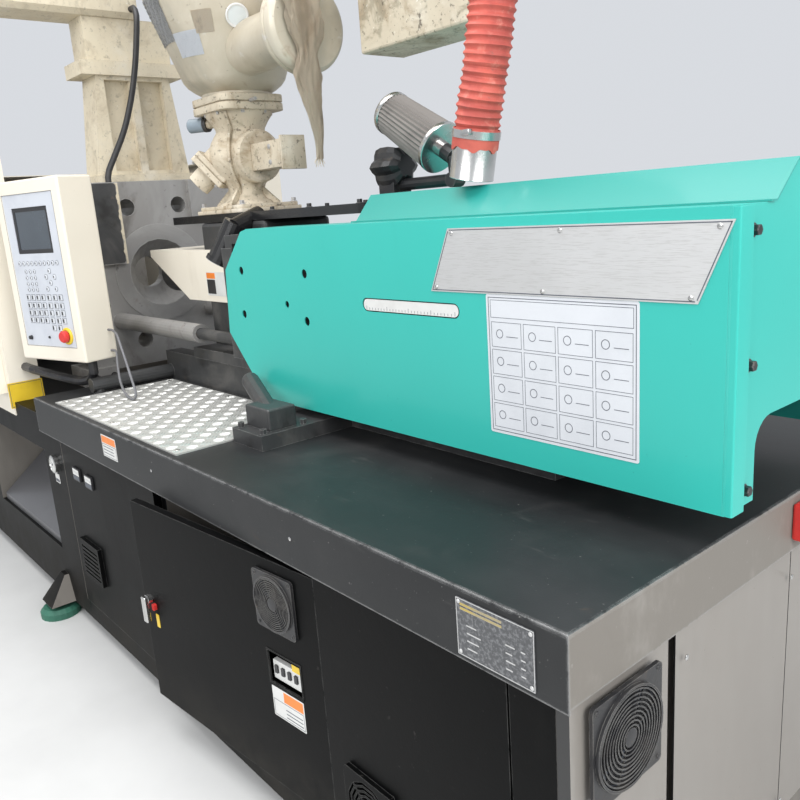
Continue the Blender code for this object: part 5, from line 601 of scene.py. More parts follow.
def loft(rings, capped=True):
    """A skin through rings of places; with its ends closed unless it is to be thickened."""
    bm = bmesh.new()
    rings = [[bm.verts.new(place) for place in ring] for ring in rings]
    for low, high in zip(rings, rings[1:]):
        for k in range(len(low)):
            bm.faces.new((low[k - 1], low[k], high[k], high[k - 1]))
    if capped:
        bm.faces.new(rings[0])
        bm.faces.new(rings[-1])
        bmesh.ops.recalc_face_normals(bm, faces=bm.faces)
    return bm


def rod(start, end, radius, steps=48, round_edge=0.0):
    start, end = Vector(start), Vector(end)
    length = (end - start).length
    profile = [(0, 0), (radius, 0), (radius, length - round_edge), (radius - round_edge, length), (0, length)]
    return turned(profile, start, end - start, steps)


def tube(start, end, radius, wall, steps=48):
    """An open tube with a visible inside."""
    start, end = Vector(start), Vector(end)
    return turned(band(radius - wall, radius, 0, (end - start).length), start, end - start, steps)


def dome(place, axis, radius, height, steps=16):
    """A rivet or pan screw head."""
    return turned([(0, 0), (radius, 0), (radius, height * 0.45), (radius * 0.72, height * 0.88), (0, height)],
                  place, axis, steps)


def domes(places, plane, radius, height):
    return [dome(spot(plane, u, v), outward(plane), radius, height) for u, v in places]


def hex_bolt(place, axis, radius, height):
    """A hexagon head on its washer."""
    axis = Vector(axis).normalized()
    washer = turned(disc(radius * 1.25, 0, height * 0.16), place, axis, 20)
    head = turned([(0, 0), (radius, 0), (radius, height * 0.86), (radius * 0.86, height), (0, height)],
                  Vector(place) + axis * height * 0.15, axis, 6)
    return [washer, head]


def hex_bolts(places, axis, radius, height):
    return [solid for place in places for solid in hex_bolt(place, axis, radius, height)]


def piece(name, solids, finish, body, replaces=(), smooth=True):
    """A named piece from solids in the machine's frame, riding on a body."""
    joined = bmesh.new()
    for solid in solids:
        part = bpy.data.meshes.new("part")
        solid.to_mesh(part)
        solid.free()
        joined.from_mesh(part)
        bpy.data.meshes.remove(part)
    mesh = bpy.data.meshes.new(name)
    joined.to_mesh(mesh)
    joined.free()
    if smooth:
        mesh.shade_smooth()
        mesh.set_sharp_from_angle(angle=math.radians(35))
    item = bpy.data.objects.new(name, mesh)
    item.location = SHIFT
    bpy.context.scene.collection.objects.link(item)
    item.data.materials.append(LOOKS[finish].material)
    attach(item, body)
    if replaces:
        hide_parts(*replaces)
    return item


def flat(name, solids, finish, body):
    """A piece with no rounded faces."""
    piece(name, solids, finish, body, smooth=False)


# Planes that the details lie on: origin, across, up

def facing_operator(y):
    return (0, y, 0), (1, 0, 0), UP


def facing_right(x):
    return (x, 0, 0), (0, 1, 0), UP


def facing_up(z):
    return (0, 0, z), (1, 0, 0), (0, 1, 0)


PANEL_TILT = math.radians(15)
PANEL_PIVOT = Vector((0.28652, -0.45457, 0.914))
PANEL_ACROSS = Vector((math.cos(PANEL_TILT), math.sin(PANEL_TILT), 0))
PANEL_INWARDS = Vector((-math.sin(PANEL_TILT), math.cos(PANEL_TILT), 0))
DOOR_TILT = math.radians(5)
DOOR_HINGE_X = 1.812
DOOR_HINGE = Vector((DOOR_HINGE_X, -0.6223, 0))
DOOR_ACROSS = Vector((math.cos(DOOR_TILT), math.sin(DOOR_TILT), 0))
DOOR_OUT = Vector((math.sin(DOOR_TILT), -math.cos(DOOR_TILT), 0))


def on_panel(depth):
    """The plane of the control panel's face, at a depth behind its swivel axis."""
    return PANEL_PIVOT + PANEL_INWARDS * depth, PANEL_ACROSS, UP


def on_door(out=0.0):
    """The plane of the cabinet door's face; across is measured from the hinge."""
    return DOOR_HINGE + DOOR_OUT * out, DOOR_ACROSS, UP


def spot(plane, u, v):
    origin, across, up = (Vector(part) for part in plane)
    return origin + across * u + up * v


def outward(plane):
    return Vector(plane[1]).cross(Vector(plane[2])).normalized()


def lifted(plane, height):
    return Vector(plane[0]) + outward(plane) * height, plane[1], plane[2]


# Cords

def smooth_route(points, spacing):
    """The same curve as the CAD's: through the points, straight at both ends."""
    path = [Vector(p) for p in points]
    result = []
    for i in range(len(path) - 1):
        p1, p2 = path[i], path[i + 1]
        p0 = path[i - 1] if i else p1 * 2 - p2
        p3 = path[i + 2] if i + 2 < len(path) else p2 * 2 - p1
        inside = 0 < i < len(path) - 2
        count = max(1, round((p2 - p1).length / spacing)) if inside else 1
        for step in range(count):
            t = step / count
            result.append((p1 * 2 + (p2 - p0) * t + (p0 * 2 - p1 * 5 + p2 * 4 - p3) * t ** 2
                           + (p1 * 3 - p0 - p2 * 3 + p3) * t ** 3) / 2)
    return result + [path[-1]]


HOSE_ROUTE = ((0.9853, 0.000, 2.580), (1.080, 0.000, 2.580), (1.240, -0.005, 2.560), (1.420, -0.015, 2.495),
              (1.590, -0.035, 2.380), (1.730, -0.055, 2.210), (1.820, -0.075, 2.010), (1.848, -0.090, 1.800),
              (1.832, -0.098, 1.650), (1.7999, -0.100, 1.5211), (1.792, -0.100, 1.487))
ROBOT_CABLE_ROUTE = ((-0.0797, 0.020, 2.130), (-0.055, 0.020, 2.130), (-0.015, 0.010, 2.095),
                     (-0.003, -0.008, 2.010), (-0.008, -0.027, 1.910), (-0.018, -0.055, 1.800),
                     (-0.028, -0.095, 1.690), (-0.034, -0.143, 1.600), (-0.0385, -0.170, 1.550),
                     (-0.0405, -0.1775, 1.524), (-0.0405, -0.1775, 1.5066))
PANEL_CABLE_ROUTE = ((0.3344, -0.4003, 1.010), (0.3520, -0.3956, 1.010), (0.392, -0.396, 0.998),
                     (0.440, -0.406, 0.965), (0.495, -0.417, 0.918), (0.545, -0.427, 0.872),
                     (0.577, -0.433, 0.838), (0.583, -0.437, 0.818), (0.565, -0.439, 0.8092),
                     (0.530, -0.440, 0.812), (0.490, -0.4365, 0.826), (0.454, -0.430, 0.850),
                     (0.422, -0.4195, 0.884), (0.396, -0.4085, 0.915), (0.374, -0.3985, 0.934),
                     (0.3520, -0.3956, 0.940), (0.3344, -0.4003, 0.940))


def round_cord(name, route, radius, finish, body, node):
    """A plain sheathed cable as a curve that stands for its CAD tube."""
    path = [p + SHIFT for p in smooth_route(route, radius * 3)]
    curve = bpy.data.curves.new(name, "CURVE")
    curve.dimensions = "3D"
    curve.bevel_depth = radius
    curve.bevel_resolution = 5
    curve.use_fill_caps = True
    spline = curve.splines.new("POLY")
    spline.points.add(len(path) - 1)
    for at, point in zip(spline.points, path):
        at.co = (*point, 1)
    spline.use_smooth = True
    item = bpy.data.objects.new(name, curve)
    bpy.context.scene.collection.objects.link(item)
    curve.materials.append(LOOKS[finish].material)
    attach(item, body)
    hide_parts(node)


def swept(path, radii, sides):
    """A closed tube along a path, with one radius at each point."""
    normal = Vector((0, 1, 0))
    rings = []
    for i, (point, radius) in enumerate(zip(path, radii)):
        along = (path[min(i + 1, len(path) - 1)] - path[max(i - 1, 0)]).normalized()
        normal = (normal - along * normal.dot(along)).normalized()
        side = along.cross(normal)
        rings.append([point + (normal * math.cos(TURN * k / sides) + side * math.sin(TURN * k / sides)) * radius
                      for k in range(sides)])
    return loft(rings)


def make_hose():
    """The ribbed hot air hose: a wire helix under a stretched skin, a little uneven from rib to rib."""
    step, pitch, end_radius = 0.0032, 0.0165, 0.0455
    fine = smooth_route(HOSE_ROUTE, step)
    dense = []
    for a, b in zip(fine, fine[1:]):
        count = max(1, round((b - a).length / step))
        dense += [a.lerp(b, k / count) for k in range(count)]
    dense.append(fine[-1])
    travelled = 0.0
    radii = []
    for last, point in zip([dense[0]] + dense, dense):
        travelled += (point - last).length
        wave = 0.5 + 0.5 * math.cos(TURN * travelled / pitch)
        crush = 0.0007 * math.sin(travelled * 61) + 0.0006 * math.sin(travelled * 23 + 1)
        radii.append(0.0442 + 0.0050 * wave ** 1.6 + crush)
    radii[0] = radii[-1] = end_radius
    item = piece("hot_air_hose", [swept(dense, radii, 36)], "hose_red", "hopper", ["hopper_hose"])


def make_cords():
    make_hose()
    round_cord("robot_lead", ROBOT_CABLE_ROUTE, 0.011, "cable_black", "machine", "robot_cable")
    round_cord("panel_lead", PANEL_CABLE_ROUTE, 0.004, "cable_grey", "panel", "panel_cable")


# Covers of the injection unit

CARRIAGE = "injection_carriage"
RIGHT = (1, 0, 0)
COVER_FACE = -0.286
COVER_END = 2.4448


def make_cover_details():
    """The bare name plate with its rivets, the bare data sheet, the scale in its slot and the bolts."""
    plane = facing_operator(COVER_FACE - PRINT)
    thick = 0.0018
    face = lifted(plane, thick)
    corners = [(1.828, 1.1775), (2.397, 1.1775), (2.450, 1.2970), (1.883, 1.2980)]
    flat("name_plate", [prism(corners, plane, thick)], "steel_plate", CARRIAGE)
    rim = []
    for (u0, v0), (u1, v1) in zip(corners, corners[1:] + corners[:1]):
        du, dv = along = Vector((u1 - u0, v1 - v0)).normalized() * 0.0045
        su, sv = Vector((-along.y, along.x)) * 0.55
        rim.append(prism([(u0 + du + su, v0 + dv + sv), (u1 - du + su, v1 - dv + sv),
                          (u1 - du + su * 1.7, v1 - dv + sv * 1.7), (u0 + du + su * 1.7, v0 + dv + sv * 1.7)],
                         face, 0.0003))
    flat("name_plate_line", rim, "ink", CARRIAGE)
    rivets = ((1.844, 1.1860), (2.110, 1.1860), (2.386, 1.1860), (1.893, 1.2890), (2.150, 1.2885), (2.428, 1.2880))
    piece("name_plate_rivets", domes(rivets, face, 0.0045, 0.0022), "bright_steel", CARRIAGE)

    flat("data_sheet", plates([(1.975, 2.300, 0.913, 1.177, 0.004)], plane, FILM), "white_film", CARRIAGE)
    top = lifted(plane, FILM)
    lines = plates(border(1.980, 2.295, 0.918, 1.172, 0.0014) + border(1.985, 2.290, 1.134, 1.167, 0.0009), top, PRINT)
    for row in range(4):
        for column in range(4):
            u, v = 1.986 + column * 0.077, 0.925 + row * 0.0515
            lines += plates(border(u, u + 0.072, v, v + 0.047, 0.0009), top, PRINT)
            lines.append(annulus(0.0085, 0.0072, 18, (u + 0.020, v + 0.025), top, PRINT))
            lines += plates([(u + 0.036, u + 0.064, v + 0.020, v + 0.0212)], top, PRINT)
    flat("data_sheet_frames", lines, "ink", CARRIAGE)

    middle, left, right = 1.140, 1.602, 1.899
    strip = (left, right, middle - 0.0125, middle + 0.0125, 0.012)
    flat("scale_strip", plates([strip], facing_operator(-0.2838), 0.0012), "white_plastic", CARRIAGE)
    ticks = []
    for i in range(29):
        u = left + 0.010 + i * (right - left - 0.020) / 28
        tall = 0.0090 if i % 7 == 0 else 0.0050
        ticks.append((u - 0.0005, u + 0.0005, middle - 0.011, middle - 0.011 + tall))
    flat("scale_ticks", plates(ticks, facing_operator(-0.2850), PRINT), "ink", CARRIAGE)

    bolts = [(COVER_END + PRINT, side * 0.228, z) for side in (-1, 1) for z in (1.278, 1.081, 0.885)]
    piece("cover_bolts", hex_bolts(bolts, RIGHT, 0.0085, 0.0100), "black_iron", CARRIAGE)


def make_cover_corners():
    """The folded corner bands that close the front and rear covers over the end cover."""
    low, height, fold = 0.8600, 0.4535, 0.0030
    bands = []
    for side in (-1, 1):
        outer, inner = side * 0.2862, side * 0.2500
        section = [(COVER_END + PRINT, inner), (COVER_END + PRINT, outer)]
        centre = Vector((COVER_END + 0.0092, outer - side * fold))
        for k in range(7):
            x, y = polar(math.radians(90 - 15 * k), fold)
            section.append((centre.x + x, centre.y + side * y))
        section.append((COVER_END + 0.0122, inner))
        bands.append(prism(section, facing_up(low), height))
    piece("cover_corners", bands, "teal_paint", CARRIAGE)


def make_roof():
    """The folded roof of the covers, with its left end cut as in the photograph."""
    foot, seat, ridge, top, sheet, brim = 0.166, 1.3153, 0.099, 1.374, 0.003, 0.184
    outer = [(-brim, seat + sheet), (-foot - 0.001, seat + sheet), (-ridge, top + sheet), (ridge, top + sheet),
             (foot + 0.001, seat + sheet), (brim, seat + sheet)]
    inner = [(brim, seat), (foot, seat), (ridge, top), (-ridge, top), (-foot, seat), (-brim, seat)]
    left_low, left_high, right = 1.446, 1.424, 2.4500
    bm = prism(outer + inner, facing_right(left_low), right - left_low)
    for vert in bm.verts:
        if vert.co.x < left_low + 0.001:
            vert.co.x += (left_high - left_low) * (vert.co.z - seat) / (top - seat)
    piece("roof_sheet", [bm], "teal_roof", CARRIAGE, ["cover_roof"], smooth=False)


# Operator's side of the bed

APRON = -0.630
SIDE_FACE = -0.6223


def make_apron_details():
    """The bare sheet and the bare data plate on the bed's apron, its screws, and the bolts of the rails."""
    plane = facing_operator(APRON - PRINT)
    flat("apron_sheet", plates([(0.787, 0.892, 0.717, 0.781, 0.002)], plane, FILM), "white_plastic", "machine")
    top = lifted(plane, FILM)
    flat("apron_sheet_patch", plates([(0.790, 0.889, 0.758, 0.778)], top, PRINT), "orange", "machine")
    lines = border(0.790, 0.889, 0.720, 0.755, 0.0012) + [(0.796, 0.870, v, v + INK_BAR) for v in (0.728, 0.737, 0.746)]
    flat("apron_sheet_lines", plates(lines, top, PRINT), "ink", "machine")

    thick, etched = 0.0012, 0.0003
    flat("data_plate", plates([(2.215, 2.365, 0.690, 0.785, 0.003)], plane, thick), "dark_plate", "machine")
    top = lifted(plane, thick)
    bars = [(2.2240, 2.3060, v, v + 0.0042) for v in (0.7665, 0.7735)]
    flat("data_plate_bar", plates(bars, top, etched), "gold", "machine")
    rows = border(2.2160, 2.3640, 0.6910, 0.7840, 0.0012)
    for i in range(4):
        v = 0.7055 + 0.0125 * i
        rows += [(left, right, v, v + 0.0020) for left, right in
                 ((2.2360, 2.2560 + 0.004 * (i % 3)), (2.3120, 2.3240 + 0.005 * (i % 2)), (2.3400, 2.3480))]
    rivets = domes([(u, v) for u in (2.2215, 2.3585) for v in (0.6965, 0.7785)], top, 0.0034, 0.0016)
    flat("data_plate_lines", plates(rows, top, etched) + rivets, "steel_plate", "machine")

    piece("apron_screws", domes(((1.120, 0.742), (1.760, 0.742)), plane, 0.0042, 0.002), "bright_steel", "machine")
    rail_bolts = [(x, y, 0.9000) for x in (0.55, 0.85, 1.45, 1.75, 1.98) for y in (-0.16, 0.16)]
    piece("rail_bolts", hex_bolts(rail_bolts, UP, 0.010, 0.009), "black_iron", "machine")


def bar(start, end, side, plane, height):
    """A thin straight bar between two places of a plane; side is half its width."""
    return prism([start - side, end - side, end + side, start + side], plane, height)


def make_post_details():
    """The pressure gauge, the two meters and the small bare plate beside the cabinet door."""
    plane = facing_operator(SIDE_FACE - 0.0003)
    centre = Vector((0.280, 0.585))
    at, out = spot(plane, *centre), outward(plane)
    back, dial = 0.0135, 0.0142
    case = [(0, 0), (0.030, 0), (0.031, 0.010), (0.031, 0.015), (0.027, 0.017), (0.0265, back), (0, back)]
    piece("gauge_case", [turned(case, at, out, 40)], "bright_steel", "machine")
    piece("gauge_dial", [turned(disc(0.0264, back, dial), at, out, 40)], "white_plastic", "machine")
    marks = []
    for i in range(25):
        ray = Vector(polar(math.radians(225 - i * 11.25)))
        near, far = (centre + ray * reach for reach in (0.0195 if i % 4 == 0 else 0.0215, 0.0240))
        marks.append(bar(near, far, Vector((-ray.y, ray.x)) * 0.0004, lifted(plane, dial), PRINT))
    marks.append(prism([(0.2788, 0.5790), (0.2812, 0.5790), (0.2668, 0.6010)], lifted(plane, 0.0146), 0.0004))
    marks.append(turned(disc(0.0028, dial, 0.0158), at, out, 16))
    flat("gauge_marks", marks, "ink", "machine")
    flat("post_plate", plates([(0.240, 0.282, 0.512, 0.545, 0.002)], plane, 0.0010), "white_plastic", "machine")
    flat("post_plate_band", plates([(0.243, 0.279, 0.5155, 0.5265)], lifted(plane, 0.0010), PRINT), "ink", "machine")

    cases, windows, dark = [], [], []
    deep, pane = 0.0060, 0.0005
    top = lifted(plane, deep)
    for u, v in ((0.488, 0.592), (0.594, 0.589)):
        cases += plates([round_about((u, v), 0.030, 0.021, 0.003)], plane, deep)
        windows += plates([(u - 0.026, u + 0.026, v - 0.002, v + 0.017, 0.001)], top, pane)
        dark += plates([(u - 0.026, u + 0.026, v - 0.017, v - 0.004, 0.001)], top, 0.0008)
        dark += plates([(u - 0.020 + 0.007 * k, u - 0.0195 + 0.007 * k, v + 0.003, v + 0.011) for k in range(7)],
                       lifted(plane, deep + pane), PRINT)
    piece("meter_cases", cases, "black_plastic", "machine")
    flat("meter_windows", windows, "white_plastic", "machine")
    flat("meter_scales", dark, "ink", "machine")


def fan_grille(name, centre, plane, half, body, replaces):
    """A square plastic guard: a frame round fine rings on eight thin spokes, with a dark disc behind it as painted
    shade in the fan's mouth.
    """
    steps, thick, corner, hub, count = 48, 0.012, 0.008, 0.016, 9
    hole = half - 0.0065
    parts = [prism(rectangle(*round_about(centre, half, half, corner)), plane, thick * 0.55,
                   [ring_points(hole, steps, centre)]),
             annulus(half - 0.0040, half - 0.0080, steps, centre, lifted(plane, thick * 0.5), thick * 0.5)]
    pitch = (half - 0.0080 - hub) / count
    for i in range(count):
        outer = hub + pitch * (i + 0.62)
        parts.append(annulus(outer, outer - pitch * 0.34, steps, centre, lifted(plane, thick * 0.62), thick * 0.30))
    button = [(0, 0), (hub * 0.9, 0), (hub * 0.9, thick * 0.34), (hub * 0.6, thick * 0.42), (0, thick * 0.42)]
    parts.append(turned(button, spot(lifted(plane, thick * 0.52), *centre), outward(plane), 24))
    for i in range(8):
        ray = Vector(polar(TURN * (i + 0.5) / 8))
        start, end = Vector(centre) + ray * hub * 0.8, Vector(centre) + ray * (half - 0.0060)
        parts.append(bar(start, end, Vector((-ray.y, ray.x)) * 0.0010, lifted(plane, thick * 0.50), thick * 0.16))
    for su in (-1, 1):
        for sv in (-1, 1):
            place = spot(lifted(plane, thick * 0.55), centre[0] + su * (half - 0.009), centre[1] + sv * (half - 0.009))
            parts.append(dome(place, outward(plane), 0.0042, 0.0022, 12))
    piece(name, parts, "black_iron", body, replaces)
    # A flat dark disc in the fan's opening: painted shade for the depth behind the blades.
    piece(name + "_shade_disc", [prism(ring_points(half - 0.0068, steps, centre), plane, 0.0008)], "ink", body)
    blades = []
    tip = half - 0.009
    for i in range(7):
        points = [Vector(centre) + Vector(polar(TURN * i / 7 + a)) * r for a, r in
                  ((0.0, 0.018), (0.28, half * 0.55), (0.34, tip), (0.95, tip), (0.80, half * 0.55), (0.55, 0.018))]
        blades.append(prism(points, lifted(plane, 0.0008), 0.0022))
    piece(name + "_blades", blades, "black_plastic", body)


def make_door_details():
    """The fan guard, the window's frame with the breakers behind it, the bare sheet and the latch's tag."""
    body, hinge = "cabinet_door", DOOR_HINGE_X
    fan_grille("door_fan_grille", (1.682 - hinge, 0.580), on_door(0.0003), 0.065, body, ["fan_guard_door"])
    left, low = 1.632 - hinge, 0.382
    face = on_door()
    frame_bars = border(left - 0.004, left + 0.112, low - 0.004, low + 0.078, 0.0040)
    flat("window_frame", plates(frame_bars, face, 0.0014), "charcoal_paint", body)
    behind, deep = on_door(-0.0175), 0.010
    breakers = (left + 0.004, left + 0.104, low + 0.006, low + 0.050, 0.002)
    piece("breaker_row", plates([breakers], behind, deep), "white_plastic", body)
    levers = [(left + 0.012 + k * 0.022, left + 0.022 + k * 0.022, low + 0.022, low + 0.040, 0.001) for k in range(4)]
    piece("breaker_levers", plates(levers, lifted(behind, deep), 0.004), "black_plastic", body)
    tags = (left + 0.070, left + 0.100, low + 0.046, low + 0.062)
    flat("breaker_tags", plates([tags], lifted(behind, 0.0101), 0.0005), "yellow", body)

    foot = 0.300
    flat("door_sheet", plates([(left, left + 0.108, foot, 0.372, 0.002)], face, FILM), "white_plastic", body)
    top = lifted(face, FILM)
    flat("door_sheet_patch", plates([(left + 0.040, left + 0.105, 0.345, 0.369)], top, PRINT), "orange", body)
    lines = border(left + 0.003, left + 0.105, foot + 0.003, 0.342, 0.0011)
    lines += [(left + 0.044, left + 0.100, v, v + INK_BAR) for v in (0.309, 0.318, 0.327)]
    flat("door_sheet_lines", plates(lines, top, PRINT), "ink", body)
    edge = -0.725 + 0.035
    flat("latch_tag", plates([(edge + 0.0135, edge + 0.0285, 0.335, 0.372, 0.002)], face, 0.0009), "yellow", body)
    pull = (edge + 0.0125, edge + 0.0245, 0.385, 0.402, 0.003)
    piece("latch_button", plates([pull], face, 0.0080), "red_plastic", body)


# Injection end, bed top and tread plate

def make_end_details():
    end = 2.4223
    fan_grille("end_fan_grille", (-0.509, 0.592), facing_right(end + 0.0003), 0.084, "machine", ["fan_guard_end"])
    screws = [(y, z) for y in (-0.345, 0.015, 0.560) for z in (0.640, 0.160)]
    piece("end_screws", domes(screws, facing_right(end), 0.0050, 0.0026), "bright_steel", "machine")


def make_tread():
    """Raised bars on the tread plate, in groups of three that alternate in direction."""
    left, right, front, back, top = 0.345, 1.241, -0.612, -0.205, 0.8043
    pitch, height = 0.0370, 0.0013
    foot_outline = ((-1, 0), (-0.7, -0.0030), (0.7, -0.0030), (1, 0), (0.7, 0.0030), (-0.7, 0.0030))
    crown_outline = ((-0.84, 0), (-0.62, -0.0015), (0.62, -0.0015), (0.84, 0), (0.62, 0.0015), (-0.62, 0.0015))
    bm = bmesh.new()
    for i in range(int((right - left) / pitch)):
        for j in range(int((back - front) / pitch)):
            along = ray_at(math.radians(45 if (i + j) % 2 == 0 else -45))
            side = Vector((-along.y, along.x, 0))
            for step in (-1, 0, 1):
                centre = Vector((left + pitch * (i + 0.5), front + pitch * (j + 0.5), top)) + side * 0.0088 * step
                reach = 0.0150 if step == 0 else 0.0125
                foot = [bm.verts.new(centre + along * a * reach + side * b) for a, b in foot_outline]
                crown = [bm.verts.new(centre + along * a * reach + side * b + UP * height) for a, b in crown_outline]
                bm.faces.new(crown)
                bm.faces.new(foot[::-1])
                for k in range(6):
                    bm.faces.new((foot[k - 1], foot[k], crown[k], crown[k - 1]))
    piece("tread_bars", [bm], "tread_aluminium", "machine")
    screws = [(x, y) for x in (0.372, 0.790, 1.212) for y in (-0.594, -0.226)]
    piece("tread_screws", domes(screws, facing_up(top), 0.007, 0.0024), "bright_steel", "machine")


# Control panel

def make_panel_details():
    """The keypad plate with its screen and keys, and the yellow ring round the stop button."""
    plane = on_panel(-0.0523)
    thick, glass = 0.0060, 0.0022
    stop = (-0.022, 0.088)
    screen = rectangle(-0.2275, -0.0225, 0.362, 0.512, 0.003)
    plate = prism(rectangle(-0.2697, 0.0197, 0.0503, 0.5547, 0.004), plane, thick,
                  [screen, ring_points(0.0113, 24, stop)])
    piece("keypad_plate", [plate], "keypad", "panel", ["panel_keypad"], smooth=False)
    pane = (-0.2272, -0.0228, 0.3623, 0.5117)
    flat("screen_glass", plates([(*pane, 0.003)], plane, glass), "screen", "panel")
    flat("screen_surround", plates(border(*pane, 0.0130), lifted(plane, glass), 0.0012), "black_plastic", "panel")

    face, out = lifted(plane, thick), outward(plane)
    rounds = [(-0.231 + 0.0241 * i, 0.330, 0.0082) for i in range(10)]
    rounds += [(-0.203 + 0.0253 * i, v, 0.0072) for i in range(3) for v in (0.3025, 0.2820, 0.2615, 0.2420)]
    rounds += [(-0.066, 0.304, 0.0092), (-0.089, 0.2845, 0.0092), (-0.041, 0.2845, 0.0092), (-0.067, 0.265, 0.0092),
               (-0.0905, 0.2447, 0.0082), (-0.042, 0.2447, 0.0082)]
    columns = (-0.2135, -0.185, -0.1555, -0.126, -0.0914, -0.0573, -0.0256)
    squares = [(u, v) for v in (0.216, 0.1887, 0.1637, 0.1386) for u in columns] + [(u, 0.1136) for u in columns[4:6]]
    frames, keys, marks = [], [], []
    for u, v, r in rounds:
        frames.append(annulus(r, r - 0.0012, 20, (u, v), face, 0.0006))
        keys.append(turned([(0, 0), (r - 0.0013, 0), (r - 0.0013, 0.0010), (r * 0.6, 0.0015), (0, 0.0016)],
                           spot(face, u, v), out, 20))
    for u, v in squares:
        frames += plates(border(*round_about((u, v), 0.0115, 0.0102)[:4], 0.0013), face, 0.0006)
        keys += plates([round_about((u, v), 0.0100, 0.0087, 0.002)], face, 0.0014)
        marks += plates([(u - 0.0085, u - 0.0005, v - 0.0065, v + 0.0065, 0.001)], lifted(face, 0.0014), PRINT)
    for u, v, r in rounds:
        marks += plates([(u - r * 0.62, u - r * 0.10, v - r * 0.35, v + r * 0.35)], lifted(face, 0.0015), 0.0003)
    flat("key_frames", frames, "ink", "panel")
    piece("keys", keys, "white_film", "panel")
    flat("key_marks", marks, "black_plastic", "panel")

    ports = [turned([(0, 0), (0.0075, 0), (0.0065, 0.0090), (0, 0.0095)], spot(face, -0.238, 0.0772), out, 20),
             turned([(0, 0), (0.0045, 0), (0.0040, 0.0040), (0, 0.0045)], spot(face, -0.1285, 0.081), out, 16)]
    piece("panel_lock", ports, "black_plastic", "panel")
    collar = [(0.0207, 0), (0.0285, 0), (0.0285, 0.0035), (0.0255, 0.0065), (0.0207, 0.0065)]
    piece("stop_collar", [turned(collar, spot(face, *stop), out, 32)], "yellow", "panel")
    # A thin grey line round the keypad plate: painted shadow in the seam between plate and bezel.
    shadow_seam = plates(border(-0.2715, 0.0215, 0.0485, 0.5565, 0.0015), on_panel(-0.0600 - PRINT), PRINT)
    flat("bezel_shadow_line", shadow_seam, "cable_grey", "panel")


# Hopper dryer

THROAT_X = 0.660
THROAT = Vector((THROAT_X, 0, 0))
SLIDE_TOP = 1.360
DUCT_Y, DUCT_Z = -0.030, 1.829


def flange_plate(half_x, half_y, corner, low, high):
    """A flange round the throat with its rims rounded."""
    bm = prism(rectangle(*round_about((THROAT_X, 0), half_x, half_y, corner), 6), facing_up(low), high - low)
    rims = [e for e in bm.edges if abs(e.verts[0].co.z - e.verts[1].co.z) < 1e-6 and len(e.link_faces) == 2]
    bmesh.ops.bevel(bm, geom=rims, offset=0.0022, segments=2, profile=0.5, affect="EDGES")
    return bm


def rib(outline, turn, thick):
    """An upright rib that stands out from the throat's axis, by an outline of (reach, height)."""
    ray = ray_at(math.radians(turn))
    side = Vector((-ray.y, ray.x, 0))
    return prism(outline, (THROAT - side * thick / 2, ray, UP), -thick)


